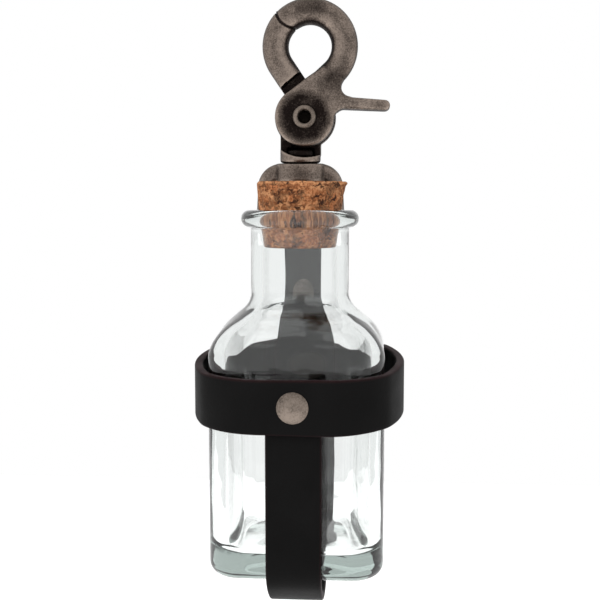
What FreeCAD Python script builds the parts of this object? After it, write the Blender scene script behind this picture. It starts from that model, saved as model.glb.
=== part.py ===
"""Square glass bottle with a cork, in a riveted leather holder on a swivel snap hook. Millimetres, +Z up.

The model is built with the underside of the glass at z = 0, the bottle's axis on x = y = 0 and the
front at -Y. At the end everything is shifted so that the origin is the middle of the hook's ring,
which is what the whole thing hangs from.
"""
import FreeCAD, Part
import math
import os
from FreeCAD import Vector as V

# glass bottle
body_half = 24.0          # half the width of the square body
corner_share = 0.375      # corner radius of the square, in plan, as a share of the half width
body_straight = 57.7      # the walls are upright up to here
base_round = 3.5          # outer round of the base edge
base_thick = 6.5
base_inner_round = 3.0
punt_margin = 7.0         # from the hollow under the base to the walls
punt_depth = 1.2
glass_wall = 3.2
neck_in = 10.07           # the neck's side lies this far in from the body's
shoulder_rise = 18.4      # from the upright walls to the neck
neck_length = 24.1        # from the shoulder to the top of the lip
neck_wall = 3.33
lip_out = 2.77            # the lip stands this far out from the neck
lip_thick = 4.9
mouth_round = 0.6
# the shoulder's half width at shares of its rise, as shares of the way from neck to body
section_points = 9        # points along each eighth of a section of the shoulder
shoulder_shape = [(0.20, 0.995), (0.37, 0.906), (0.565, 0.687), (0.723, 0.374), (0.853, 0.116)]

# cork
cork_flare = 2.25         # the top's radius over the foot's
cork_height = 18.5
cork_in = 10.5            # how deep it sits in the mouth
cork_chamfer = 0.5
cork_clearance = 0.1      # between the cork and the glass

# leather
leather = 2.4             # thickness
layer_gap = 0.1           # between leather laid on leather
strap_width = 15.0
strap_gap = 1.0           # glass to strap, which the rivets' inner caps need
band_height = 14.8
band_down = 16.0          # the band's lower edge below the shoulder
band_bow = 3.4            # the band stands this far off the glass at the sides
band_rise = 3.0           # the band sits this much higher at the back than at the front
band_flat_margin = 1.0    # the band is flat over the strap and this far past it
band_corner_share = 0.4   # inner radius where the band rounds the glass corner, of the body's half width
band_corner_gap = 0.4
lap_share = 0.4375        # each end runs this far past the middle at the back, of the body's half width
lap_start = 0.5           # the outer end is clear of the inner one this far before it
strap_end_down = 1.3      # the strap's front end below the band's upper edge
sling_side_radius = 9.0   # inner radii of the sling under the base
sling_side_top = 6.3
sling_drop = 9.0
lean_up = 1.0             # the back run starts to lean in this far above the shoulder's foot
lean_rise = 10.5
lean_radius = 12.0
clamp_up = 5.6            # the two layers part this far above the loop's rivet
clamp_radius = 8.0
flap_tail = 5.0           # the flap ends this far below the loop's rivet
clamp_back = 0.15         # the layers meet this far behind the bar's middle
lip_gap = 0.2             # between the leather loop and the glass lip

# rivets in the leather
cap_radius = 4.2
cap_dome = 1.5
post_cap_dome = 0.8
cap_edge = 0.2
stem_radius = 1.9
stem_bore = 1.2
shank_radius = 1.1
rivet_hole = 2.0
band_rivet_up = 7.5       # above the band's lower edge
loop_rivet_down = 1.0     # below the foot of the neck

# swivel eye
eye_x = -1.3              # axis of the swivel
bar_down = 6.5            # middle of the eye's lower bar below the bottle's lip
bar_radius = 1.9
bar_clearance = 0.3
eye_foot_half = 13.65
eye_head_half = 13.0
eye_shoulder = 8.7
eye_foot_round = 3.6
eye_inner_half = 9.5
eye_inner_round = 3.6
eye_inner_foot_round = 1.2
eye_rise = 20.2           # from the middle of the lower bar to the top of the eye
eye_head_bar = 5.4
eye_edge_round = 1.7
boss_half_width = 7.35
boss_half_depth = 5.6
stem_r = 2.5
head_r = 3.8
head_thick = 1.7

# snap hook, places relative to the jaw's pivot
pivot_x = 0.1
swivel_play = 0.15        # between the eye and the barrel
ring_dx = 1.5
ring_dz = 20.95
ring_outer = 14.3
ring_inner = 6.45
arm_depth = 7.0
arm_round = 3.0
left_arm_turn = 214.0     # the left arm runs straight from this angle of the ring
right_arm_turn = -47.6
left_arm_tail = 9.0
right_arm_tail = 8.0
disc_radius = 8.9
plate_radius = 9.2
half_depth = 4.2          # each half plate reaches this far from the middle plane
half_gap = 0.1            # from the middle plane to each half
running_gap = 0.4         # between the halves round the disc
crotch_in = (-0.95, -9.4) # from the ring's middle to where its opening comes to a point
crotch_gap = 0.15
crotch_lean = 2.0
step_from = (-1.1, 13.7)  # the left arm steps back behind the disc along this line
step_to = (-7.0, 8.85)
dish_radius = 7.9
dish_depth = 0.9
spring_room = 6.4
spring_room_depth = 1.9
tip_in = (-4.5, 10.8)     # from the ring's middle to the middle of the jaw's rounded tip
tip_radius = 5.6
tip_gap = 0.15
notch_centre = (13.8, 8.9)
lever_from = 11.0
lever_to = 23.9
lever_top = (6.05, 4.95)
lever_foot = (2.35, 1.8)
lever_depth = 7.0
lever_round = 0.9
lever_fillet = 3.0
plate_round = 0.8

# barrel under the hook
barrel_radius = 6.1
barrel_drop = 13.6        # its lower face below the pivot
barrel_rise = 8.0         # its upper end below the pivot
barrel_floor = 11.7
barrel_recess = 12.0      # radius of the clearance round the pivot
swivel_gap = 0.15
barrel_round = 0.8
stem_hole = 9.0           # depth of the hole for the stem from below the barrel

# pivot rivet and spring
pin_radius = 2.6
pin_bore = 2.0
pin_roll = 3.45
pin_tail_radius = 3.9
pin_tail_dome = 0.9
pin_gap = 0.1
wire_radius = 0.4
coil_radius = 4.4
coil_pitch = 0.9
coil_turns = 3

os.makedirs("parts", exist_ok=True)

# sizes and places that follow from the sizes
body_corner = corner_share * body_half
punt_radius = body_half - punt_margin
neck_radius = body_half - neck_in
neck_bore = neck_radius - neck_wall
lip_radius = neck_radius + lip_out
cork_foot_radius = neck_bore - cork_clearance
cork_top_radius = cork_foot_radius + cork_flare
band_corner = band_corner_share * body_half
band_lap = lap_share * body_half
crotch = (ring_dx + crotch_in[0], ring_dz + crotch_in[1])
tip_centre = (ring_dx + tip_in[0], ring_dz + tip_in[1])
neck_foot = body_straight + shoulder_rise
bottle_height = neck_foot + neck_length
band_foot = body_straight - band_down
band_side_half = body_half + band_bow
band_flat_half = strap_width / 2 + band_flat_margin
band_rivet_z = band_foot + band_rivet_up
back_rivet_z = band_rivet_z + band_rise
strap_front_top = band_foot + band_height - strap_end_down
loop_rivet_z = neck_foot - loop_rivet_down
clamp_top = loop_rivet_z + clamp_up
flap_end = loop_rivet_z - flap_tail
lean_start = body_straight + lean_up
lean_end = lean_start + lean_rise
bar_z = bottle_height - bar_down
eye_top = bar_z + eye_rise
pivot_z = eye_top + swivel_play + barrel_drop
strap_face = body_half + strap_gap                # strap's inner face, front and back
band_face = strap_face + leather + layer_gap      # band's inner face, front and back
lap_face = band_face + leather + layer_gap        # inner face of the band's outer end
loop_radius = bar_radius + bar_clearance
eye_y = lip_radius + lip_gap + leather + loop_radius   # plane of the eye and of the hook
clamp_y = eye_y + clamp_back
reach = 40.0                                      # cutting shapes run this far past what they cut
cork_foot = bottle_height - cork_in
ball = (dish_radius ** 2 + dish_depth ** 2) / (2 * dish_depth)   # the dished faces are parts of a ball
hang_point = V(pivot_x + ring_dx, eye_y, pivot_z + ring_dz)


def line(a, b):
    """A straight edge."""
    return Part.LineSegment(a, b).toShape()


def arc(centre, radius, start, end, point):
    """An arc about centre between two angles in degrees; point puts plane coordinates in space."""
    ends = []
    for angle in (start, (start + end) / 2, end):
        a = math.radians(angle)
        ends.append(point(centre[0] + radius * math.cos(a), centre[1] + radius * math.sin(a)))
    return Part.Arc(*ends).toShape()


def rounded(points, radii, point):
    """Straight runs through points, with a tangent arc of the given radius at each inner point."""
    edges = []
    at = points[0]
    for before, corner, after, radius in zip(points, points[1:], points[2:], radii):
        a_in = math.atan2(corner[1] - before[1], corner[0] - before[0])
        a_out = math.atan2(after[1] - corner[1], after[0] - corner[0])
        turn = (a_out - a_in + math.pi) % (2 * math.pi) - math.pi
        run = radius * math.tan(abs(turn) / 2)
        first = (corner[0] - run * math.cos(a_in), corner[1] - run * math.sin(a_in))
        side = math.copysign(math.pi / 2, turn)
        centre = (first[0] + radius * math.cos(a_in + side), first[1] + radius * math.sin(a_in + side))
        start = math.degrees(a_in - side)
        edges.append(line(point(*at), point(*first)))
        edges.append(arc(centre, radius, start, start + math.degrees(turn), point))
        at = (corner[0] + run * math.cos(a_out), corner[1] + run * math.sin(a_out))
    edges.append(line(point(*at), point(*points[-1])))
    return edges


def thickened(edges, thickness):
    """A strip's section: the wire of edges and its offset, closed to a face. The sign picks the side."""
    return Part.Wire(edges).makeOffset2D(thickness, 0, True, True)


def turned(points, arcs=()):
    """A profile of (radius, height) points, turned about Z. arcs maps a point's index to a mid point."""
    edges = []
    closed = points + [points[0]]
    for i, (a, b) in enumerate(zip(closed, closed[1:])):
        middle = dict(arcs).get(i)
        if middle:
            edges.append(Part.Arc(V(a[0], 0, a[1]), V(middle[0], 0, middle[1]), V(b[0], 0, b[1])).toShape())
        else:
            edges.append(line(V(a[0], 0, a[1]), V(b[0], 0, b[1])))
    return Part.Face(Part.Wire(edges)).revolve(V(0, 0, 0), V(0, 0, 1), 360)


def square_section(half, corner, z):
    """A square with rounded corners."""
    flat = half - corner
    plane = lambda x, y: V(x, y, z)
    edges = []
    for quarter in range(4):
        turn = 90.0 * quarter
        c = math.cos(math.radians(turn))
        s = math.sin(math.radians(turn))
        low = plane(half * c + flat * s, half * s - flat * c)
        high = plane(half * c - flat * s, half * s + flat * c)
        centre = (flat * c - flat * s, flat * s + flat * c)
        edges.append(line(low, high))
        edges.append(arc(centre, corner, turn, turn + 90, plane))
    return Part.Wire(edges)


def square_reach(half, corner, angle):
    """Distance from the middle of a rounded square to its edge, for an angle within an eighth of a side."""
    flat = half - corner
    if math.tan(angle) <= flat / half:
        return half / math.cos(angle)
    along = flat * (math.cos(angle) + math.sin(angle))
    return along + math.sqrt(along ** 2 - 2 * flat ** 2 + corner ** 2)


def soft_section(half, square, roundness, z):
    """A section between the rounded square (half, corner) at roundness 0 and a circle at 1, eight edges."""
    split = math.atan2(square[0] - square[1], square[0])
    plane = lambda x, y: V(x, y, z)
    edges = []
    for quarter in range(4):
        turn = quarter * math.pi / 2
        for start, end in ((-split, split), (split, math.pi / 2 - split)):
            if roundness >= 1:
                edges.append(arc((0, 0), half, math.degrees(turn + start), math.degrees(turn + end), plane))
                continue
            points = []
            for i in range(section_points):
                angle = start + (end - start) * i / (section_points - 1)
                folded = min(abs(angle), math.pi / 2 - abs(angle))
                square_r = square_reach(square[0], square[1], folded) / square[0]
                r = half * (square_r * (1 - roundness) + roundness)
                points.append(plane(r * math.cos(turn + angle), r * math.sin(turn + angle)))
            curve = Part.BSplineCurve()
            curve.interpolate(points)
            edges.append(curve.toShape())
    return Part.Wire(edges)


def shoulder_stations():
    """(height, half width) up the outside, with an upright stretch at each end."""
    rise = neck_foot - body_straight
    spread = body_half - neck_radius
    stations = [(body_straight - 3, body_half), (body_straight, body_half)]
    stations += [(body_straight + share * rise, neck_radius + wide * spread) for share, wide in shoulder_shape]
    return stations + [(neck_foot, neck_radius), (neck_foot + 2.6, neck_radius)]


def inside_stations():
    """The same curve moved in by the wall, square to the curve."""
    outer = shoulder_stations()
    inner = []
    for i, (z, half) in enumerate(outer):
        z0, h0 = outer[max(i - 1, 0)]
        z1, h1 = outer[min(i + 1, len(outer) - 1)]
        length = math.hypot(z1 - z0, h1 - h0)
        share = i / (len(outer) - 1)
        wall = glass_wall + (neck_wall - glass_wall) * share
        inner.append((z + wall * (h1 - h0) / length, half - wall * (z1 - z0) / length))
    return inner


def bulb(stations, corner):
    """Loft from the rounded square of the body to the circle of the neck."""
    first_half = stations[0][1]
    last_half = stations[-1][1]
    wires = []
    for z, half in stations:
        roundness = (first_half - half) / (first_half - last_half)
        if roundness <= 0:
            wires.append(square_section(half, corner, z))
        else:
            wires.append(soft_section(half, (first_half, corner), roundness, z))
    return Part.makeLoft(wires, True, False)


def low_edges(shape, z):
    """The edges that lie wholly at height z."""
    return [e for e in shape.Edges if abs(e.BoundBox.ZMin - z) < 1e-4 and abs(e.BoundBox.ZMax - z) < 1e-4]


def prism(half, corner, foot, top, edge_round):
    """Upright rounded square block with a round along its lower edge."""
    block = Part.Face(square_section(half, corner, foot)).extrude(V(0, 0, top - foot))
    return block.makeFillet(edge_round, low_edges(block, foot))


def glass_bottle():
    """Blown square bottle: thick base with a shallow hollow, even walls, a round neck and a rolled lip."""
    outside = shoulder_stations()
    inside = inside_stations()
    outer = prism(body_half, body_corner, 0, outside[0][0], base_round)
    outer = outer.fuse(bulb(outside, body_corner))
    lip_mid = bottle_height - lip_thick / 2
    lip_flat = lip_radius - lip_thick / 2
    profile = [(0, outside[-1][0]), (neck_radius, outside[-1][0]), (neck_radius, bottle_height - lip_thick),
               (lip_flat, bottle_height - lip_thick), (lip_flat, bottle_height), (0, bottle_height)]
    outer = outer.fuse(turned(profile, {3: (lip_radius, lip_mid)}))
    inner_half = inside[0][1]
    hollow = prism(inner_half, body_corner - glass_wall, base_thick, inside[0][0], base_inner_round)
    hollow = hollow.fuse(bulb(inside, body_corner - glass_wall))
    taper = (cork_top_radius - cork_foot_radius) / cork_height
    mouth = cork_foot_radius + cork_clearance + taper * cork_in
    bore = [(0, inside[-1][0]), (neck_bore, inside[-1][0]), (neck_bore, cork_foot),
            (mouth - taper * mouth_round, bottle_height - mouth_round), (mouth + mouth_round, bottle_height),
            (mouth + mouth_round, bottle_height + 1), (0, bottle_height + 1)]
    hollow = hollow.fuse(turned(bore))
    punt_ball = (punt_radius ** 2 + punt_depth ** 2) / (2 * punt_depth)
    punt = Part.makeSphere(punt_ball, V(0, 0, punt_depth - punt_ball))
    return outer.removeSplitter().cut(hollow.removeSplitter()).cut(punt)


def cork_stopper():
    """Tapered cork with a small chamfer at both ends."""
    top = cork_foot + cork_height
    slope = (cork_top_radius - cork_foot_radius) / cork_height * cork_chamfer
    return turned([(0, cork_foot), (cork_foot_radius - cork_chamfer, cork_foot),
                   (cork_foot_radius + slope, cork_foot + cork_chamfer),
                   (cork_top_radius - slope, top - cork_chamfer), (cork_top_radius - cork_chamfer, top), (0, top)])


def tangent_arc_start(flat_half, face, corner_centre):
    """Radius of the arc that leaves a face at flat_half and runs into the corner's circle."""
    dx = corner_centre - flat_half
    depth = face - corner_centre
    inner = band_corner
    return (dx ** 2 + depth ** 2 - inner ** 2) / (2 * (depth - inner))


def heading(centre, towards):
    """Angle in degrees from one point of the plane to another."""
    return math.degrees(math.atan2(towards[1] - centre[1], towards[0] - centre[0]))


def leather_band():
    """One strip round the bottle: flat over the strap, bowed at the sides, its ends lapped at the back.

    It is higher at the back: a tall strip is cut to the space between two sloping planes.
    """
    plane = lambda x, y: V(x, y, band_foot)
    diagonal = (body_half - body_corner) * math.sqrt(2) + body_corner + band_corner_gap - band_corner
    c = diagonal / math.sqrt(2)
    front_r = tangent_arc_start(band_flat_half, band_face, c)
    side_r = tangent_arc_start(0, band_side_half, c)
    front = (band_flat_half, front_r - band_face)
    side = (band_side_half - side_r, 0.0)
    a_front = heading(front, (c, -c))
    a_side = heading(side, (c, c))
    # the lapped end leaves the left side early and passes outside the inner end
    lap_x = band_lap + lap_start
    span = lap_x - side[0]
    lap_r = (side_r ** 2 - span ** 2 - lap_face ** 2) / (2 * (side_r - lap_face))
    lap = (-lap_x, lap_face - lap_r)
    a_lap = heading((-side[0], 0.0), lap)
    edges = [
        line(plane(-band_lap, band_face), plane(band_flat_half, band_face)),
        arc((band_flat_half, -front[1]), front_r, 90, -a_front, plane),
        arc((c, c), band_corner, -a_front, a_side, plane),
        arc(side, side_r, a_side, -a_side, plane),
        arc((c, -c), band_corner, -a_side, a_front, plane),
        arc(front, front_r, a_front, -90, plane),
        line(plane(band_flat_half, -band_face), plane(-band_flat_half, -band_face)),
        arc((-front[0], front[1]), front_r, -90, -180 - a_front, plane),
        arc((-c, -c), band_corner, -180 - a_front, -180 + a_side, plane),
        arc((-side[0], 0.0), side_r, -180 + a_side, a_lap - 360, plane),
        arc(lap, lap_r, a_lap - 360, -270, plane),
        line(plane(-lap_x, lap_face), plane(band_lap, lap_face)),
    ]
    slope = math.degrees(math.atan2(band_rise, band_face + lap_face))
    level = FreeCAD.Placement(V(0, -band_face, band_foot), FreeCAD.Rotation(V(1, 0, 0), slope))
    between = Part.makeBox(2 * reach, 3 * reach, band_height, V(-reach, -reach, 0))
    between.Placement = level
    strip = thickened(edges, -leather).extrude(V(0, 0, 2 * band_height))
    strip.translate(V(0, 0, -band_height / 2))
    front_hole = round_bar((0, band_rivet_z), rivet_hole, -2 * reach, 0)
    back_hole = round_bar((0, back_rivet_z), rivet_hole, 0, 2 * reach)
    return strip.common(between).cut(front_hole).cut(back_hole)


def tangent_point(outside_point, centre, radius, side):
    """Where a line from a point touches a circle, on its +Y side for side 1 and -Y side for -1."""
    dy = centre[0] - outside_point[0]
    dz = centre[1] - outside_point[1]
    far = math.hypot(dy, dz)
    angle = math.atan2(dz, dy) - side * math.asin(radius / far)
    run = math.sqrt(far ** 2 - radius ** 2)
    return outside_point[0] + run * math.cos(angle), outside_point[1] + run * math.sin(angle)


def leather_strap():
    """One strap: down the front, in a sling under the base, up the back, round the bar and back on itself."""
    plane = lambda y, z: V(-strap_width / 2, y, z)
    lowest = -sling_drop
    side_c = strap_face - sling_side_radius
    rise = sling_side_top - lowest
    sling_r = (side_c ** 2 + rise ** 2 - sling_side_radius ** 2) / (2 * (rise - sling_side_radius))
    sling_c = (0.0, lowest + sling_r)
    a = heading(sling_c, (side_c, sling_side_top))
    back_foot = (clamp_y + layer_gap / 2, clamp_top)
    front_foot = (clamp_y - layer_gap / 2, clamp_top)
    bar = (eye_y, bar_z)
    back_touch = tangent_point(back_foot, bar, loop_radius, 1)
    front_touch = tangent_point(front_foot, bar, loop_radius, -1)
    edges = [
        line(plane(-strap_face, strap_front_top), plane(-strap_face, sling_side_top)),
        arc((-side_c, sling_side_top), sling_side_radius, -180, -180 - a, plane),
        arc(sling_c, sling_r, -180 - a, a, plane),
        arc((side_c, sling_side_top), sling_side_radius, a, 0, plane),
    ]
    edges += rounded([(strap_face, sling_side_top), (strap_face, lean_start), (back_foot[0], lean_end),
                      back_foot, back_touch], [lean_radius, lean_radius, clamp_radius], plane)
    edges.append(arc(bar, loop_radius, heading(bar, back_touch), heading(bar, front_touch) + 360, plane))
    edges += rounded([front_touch, front_foot, (front_foot[0], flap_end)], [clamp_radius], plane)
    strip = thickened(edges, leather).extrude(V(strap_width, 0, 0))
    front_hole = round_bar((0, band_rivet_z), rivet_hole, -2 * reach, 0)
    for z in (back_rivet_z, loop_rivet_z):
        strip = strip.cut(round_bar((0, z), rivet_hole, 0, 2 * reach))
    return strip.cut(front_hole)


def rivet_halves(stack):
    """A double-cap rivet through leather of that thickness, along +Z from the inner face: (cap, post)."""
    top = stack + cap_dome
    half = cap_radius * 0.7
    cap = turned([(0, top), (cap_radius, stack + cap_edge), (cap_radius, stack), (stem_radius, stack),
                  (stem_radius, 0.3), (stem_bore, 0.3), (stem_bore, stack + 0.5), (0, stack + 0.5)],
                 {0: (half, stack + cap_edge + (cap_dome - cap_edge) * 0.56)})
    post = turned([(0, -post_cap_dome), (cap_radius, -cap_edge), (cap_radius, 0), (shank_radius, 0),
                   (shank_radius, stack + 0.4), (0, stack + 0.4)],
                  {0: (half, -cap_edge - (post_cap_dome - cap_edge) * 0.56)})
    return cap, post


def placed_rivet(stack, face_y, z, outwards):
    """The two halves with their axis along Y, the post's cap on the inner face at face_y."""
    turn = FreeCAD.Rotation(V(1, 0, 0), -90 * outwards)
    halves = []
    for half in rivet_halves(stack):
        half.Placement = FreeCAD.Placement(V(0, face_y, z), turn)
        halves.append(half)
    return halves


def plate(edges, y0, y1):
    """An outline in the XZ plane at y = 0, extruded between two depths."""
    face = Part.Face(Part.Wire(edges))
    face.translate(V(0, y0, 0))
    return face.extrude(V(0, y1 - y0, 0))


def polygon(points, y0, y1):
    """A straight-sided outline in the XZ plane, extruded between two depths."""
    corners = [V(x, 0, z) for x, z in points]
    return plate([line(a, b) for a, b in zip(corners, corners[1:] + corners[:1])], y0, y1)


def round_bar(centre, radius, y0, y1):
    """A cylinder along Y at a place in the XZ plane."""
    return Part.makeCylinder(radius, y1 - y0, V(centre[0], y0, centre[1]), V(0, 1, 0))


def swivel_eye():
    """D-shaped eye with a round lower bar, a boss on its head bar, a stem and a peened head."""
    plane = lambda x, z: V(x, 0, z)
    foot = bar_z - bar_radius
    shoulder_z = eye_top - eye_shoulder
    outline = [(0, foot), (eye_foot_half, foot), (eye_head_half, shoulder_z), (eye_head_half - 0.3, eye_top),
               (-eye_head_half + 0.3, eye_top), (-eye_head_half, shoulder_z), (-eye_foot_half, foot), (0, foot)]
    outer = plate(rounded(outline, [eye_foot_round, 2.0, eye_shoulder - 1.5, eye_shoulder - 1.5, 2.0,
                                    eye_foot_round], plane), -bar_radius, bar_radius)
    low = bar_z + bar_radius
    high = eye_top - eye_head_bar
    window = [(0, low), (eye_inner_half, low), (eye_inner_half, high), (-eye_inner_half, high),
              (-eye_inner_half, low), (0, low)]
    inner = plate(rounded(window, [eye_inner_foot_round, eye_inner_round, eye_inner_round,
                                   eye_inner_foot_round], plane), -2 * bar_radius, 2 * bar_radius)
    ring = outer.cut(inner)
    faces = [e for e in ring.Edges if abs(abs(e.CenterOfMass.y) - bar_radius) < 1e-4]
    ring = ring.makeFillet(eye_edge_round, faces)
    boss_edge = Part.Ellipse(V(0, 0, high), boss_half_width, boss_half_depth).toShape()
    boss = Part.Face(Part.Wire(boss_edge)).extrude(V(0, 0, eye_head_bar))
    boss = boss.makeFillet(0.6, low_edges(boss, eye_top) + low_edges(boss, high))
    floor_z = pivot_z - barrel_floor
    stem = Part.makeCylinder(stem_r, floor_z + swivel_gap - eye_top + 1, V(0, 0, eye_top - 1))
    head = Part.makeCylinder(head_r, head_thick, V(0, 0, floor_z + swivel_gap))
    head = head.makeFillet(0.5, low_edges(head, floor_z + swivel_gap + head_thick))
    eye = ring.fuse(boss).fuse(stem).fuse(head)
    eye.translate(V(eye_x, eye_y, 0))
    return eye.removeSplitter()


def arm(start, end, tail, tail_at_end):
    """Part of the ring with a rounded section, and a straight tail that leaves it at one end."""
    middle = (ring_outer + ring_inner) / 2
    half = (ring_outer - ring_inner) / 2
    deep = arm_depth / 2
    plane = lambda x, y: V(x, y, 0)
    section = rounded([(middle, -deep), (middle + half, -deep), (middle + half, deep), (middle - half, deep),
                       (middle - half, -deep), (middle, -deep)], [arm_round] * 4, plane)
    face = Part.Face(Part.Wire(section))
    axis = V(0, 1, 0)
    first = face.copy()
    first.rotate(V(0, 0, 0), axis, -start)
    bow = first.revolve(V(0, 0, 0), axis, -(end - start))
    angle = math.radians(end if tail_at_end else start)
    way = 1 if tail_at_end else -1
    last = face.copy()
    last.rotate(V(0, 0, 0), axis, -math.degrees(angle))
    run = last.extrude(V(-math.sin(angle) * way * tail, 0, math.cos(angle) * way * tail))
    whole = bow.fuse(run)
    whole.translate(V(ring_dx, 0, ring_dz))
    return whole


def dish(depth_from, way):
    """The shallow hollow in the middle of a plate's outer face."""
    return Part.makeSphere(ball, V(0, depth_from + way * (ball - dish_depth), 0))


def web_points():
    """Outline of the jaw's plate: disc tangent, crotch, along the arm, notch, lever root, lower fillet."""
    far = math.hypot(*crotch)
    lean = math.atan2(crotch[1], crotch[0]) + math.acos(disc_radius / far)
    touch = (disc_radius * math.cos(lean), disc_radius * math.sin(lean))
    to_notch = math.atan2(notch_centre[1] - ring_dz, notch_centre[0] - ring_dx)
    on_ring = (ring_dx + ring_outer * math.cos(to_notch), ring_dz + ring_outer * math.sin(to_notch))
    fillet_z = lever_foot[0] - lever_fillet
    fillet_x = math.sqrt((disc_radius + lever_fillet) ** 2 - fillet_z ** 2)
    return [(0, 0), touch, crotch, (5.5, 15.0), on_ring, notch_centre, (notch_centre[0], lever_foot[0] + 1.5),
            (fillet_x, lever_foot[0] + 0.5), (fillet_x, fillet_z)]


def snap_jaw():
    """The moving half, one casting: front disc, right arm over the top to the tip, and thumb lever."""
    points = web_points()
    deep = arm_depth / 2
    front = polygon(points, -half_depth, -half_gap).fuse(round_bar((0, 0), disc_radius, -half_depth, -half_gap))
    notch_r = math.hypot(notch_centre[0] - ring_dx, notch_centre[1] - ring_dz) - ring_outer
    cuts = [round_bar(notch_centre, notch_r, -reach, reach), round_bar(points[-1], lever_fillet, -reach, reach)]
    front = front.removeSplitter().cut(cuts[0]).cut(cuts[1])
    rim = [e for e in front.Edges if abs(e.BoundBox.YMin + half_depth) < 1e-4
           and abs(e.BoundBox.YMax + half_depth) < 1e-4]
    front = front.makeFillet(plate_round, rim)
    bow = arm(right_arm_turn, 150, right_arm_tail, False)
    back_web = polygon(points, -half_gap - 0.5, deep - 1.2).cut(cuts[0]).cut(cuts[1])
    lever = polygon([(lever_from, lever_foot[0]), (lever_from, lever_top[0]), (lever_to, lever_top[1]),
                     (lever_to, lever_foot[1])], -lever_depth / 2, lever_depth / 2)
    end_r = (lever_top[1] - lever_foot[1]) / 2
    lever = lever.fuse(round_bar((lever_to, lever_foot[1] + end_r), end_r, -lever_depth / 2, lever_depth / 2))
    lever = lever.removeSplitter()
    sides = [e for e in lever.Edges if abs(abs(e.CenterOfMass.y) - lever_depth / 2) < 1e-4]
    lever = lever.makeFillet(lever_round, sides)
    # behind the middle plane nothing of the jaw comes inside the fixed plate or left of the crotch
    swept = round_bar((0, 0), plate_radius + running_gap, -half_gap, reach)
    past_crotch = crotch[0] + crotch_gap
    ring_foot = ring_dz - ring_inner
    left = polygon([(-reach, -reach), (past_crotch, -reach), (past_crotch, ring_foot), (-reach, ring_foot)],
                   -half_gap, reach)
    past_tip = polygon([(-reach, ring_dz), (ring_dx, ring_dz), tip_centre, (tip_centre[0], ring_dz + reach),
                        (-reach, ring_dz + reach)], -reach, reach)
    past_tip = past_tip.cut(round_bar(tip_centre, tip_radius, -2 * reach, 2 * reach))
    beside = polygon([(-reach, 0), crotch, (crotch[0] - crotch_lean, ring_dz), (-reach, ring_dz)], -reach, reach)
    bow = bow.cut(past_tip).cut(beside)
    jaw = front.fuse([bow.cut(swept).cut(left), back_web.cut(swept).cut(left), lever.cut(swept)])
    jaw = jaw.cut(dish(-half_depth, -1))
    jaw = jaw.cut(round_bar((0, 0), spring_room, -spring_room_depth, 0))
    jaw = jaw.cut(round_bar((0, 0), pin_radius + pin_gap, -reach, reach))
    return hooked(jaw)


def snap_body():
    """The fixed half, one casting: left arm, rear plate, neck and the barrel of the swivel."""
    bow = arm(130, left_arm_turn, left_arm_tail, True)
    past_tip = round_bar(tip_centre, tip_radius + tip_gap, -reach, reach)
    past_tip = past_tip.fuse(polygon([tip_centre, (ring_dx, ring_dz), (ring_dx, ring_dz + reach),
                                      (tip_centre[0] - reach, ring_dz + 2 * reach)], -reach, reach))
    run = (step_to[0] - step_from[0], step_to[1] - step_from[1])
    length = math.hypot(*run)
    ux, uz = run[0] / length, run[1] / length
    a = (step_from[0] - ring_inner * ux, step_from[1] - ring_inner * uz)
    b = (step_to[0] + ring_inner * ux, step_to[1] + ring_inner * uz)
    stepped = polygon([a, b, (b[0] - ring_outer * uz, b[1] + ring_outer * ux),
                       (a[0] - ring_outer * uz, a[1] + ring_outer * ux)], -reach, half_gap)
    before_crotch = crotch[0] - crotch_gap
    right = polygon([(before_crotch, 0), (reach, 0), (reach, ring_dz), (before_crotch, ring_dz)],
                    -reach, reach).cut(round_bar((0, 0), plate_radius, -2 * reach, 2 * reach))
    bow = bow.cut(past_tip).cut(stepped).cut(right)
    disc = round_bar((0, 0), plate_radius, half_gap, half_depth)
    rim = [e for e in disc.Edges if abs(e.CenterOfMass.y - half_depth) < 1e-4]
    disc = disc.makeFillet(plate_round, rim)
    swivel = eye_x - pivot_x
    neck = polygon([(swivel - barrel_radius, -barrel_floor), (swivel - barrel_radius, -4), (-4, 2), (3, 2),
                    (swivel + barrel_radius, -4), (swivel + barrel_radius, -barrel_floor)], half_gap, half_depth)
    barrel = Part.makeCylinder(barrel_radius, barrel_drop - barrel_rise, V(swivel, 0, -barrel_drop))
    barrel = barrel.makeFillet(barrel_round, low_edges(barrel, -barrel_drop) + low_edges(barrel, -barrel_rise))
    barrel = barrel.cut(round_bar((0, 0), barrel_recess, -reach, half_gap))
    body = disc.fuse([bow, neck, barrel])
    body = body.cut(Part.makeCylinder(head_r + 0.3, head_thick + 1.0, V(swivel, 0, -barrel_floor)))
    body = body.cut(Part.makeCylinder(stem_r + swivel_gap, stem_hole, V(swivel, 0, -barrel_drop - 1)))
    body = body.cut(dish(half_depth, 1))
    body = body.cut(round_bar((0, 0), spring_room, 0, spring_room_depth))
    body = body.cut(round_bar((0, 0), pin_radius + pin_gap, -reach, reach))
    return hooked(body)


def jaw_pivot_rivet():
    """Tubular rivet: rolled over at the front, a low head at the back, bored from the front."""
    front = half_depth - dish_depth + pin_roll ** 2 / (2 * ball) + pin_gap
    back = half_depth - dish_depth + pin_tail_radius ** 2 / (2 * ball) + pin_gap
    roll_mid = (pin_roll + pin_bore) / 2
    roll_r = (pin_roll - pin_bore) / 2
    pin = turned([(pin_bore, -back + 1.2), (pin_bore, front + roll_r), (pin_roll, front + roll_r), (pin_roll, front),
                  (pin_radius, front), (pin_radius, -back), (pin_tail_radius, -back),
                  (pin_tail_radius - 0.6, -back - pin_tail_dome), (0, -back - pin_tail_dome), (0, -back + 1.2)],
                 {1: (roll_mid, front + 2 * roll_r)})
    pin.rotate(V(0, 0, 0), V(1, 0, 0), 90)
    return hooked(pin)


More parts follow.
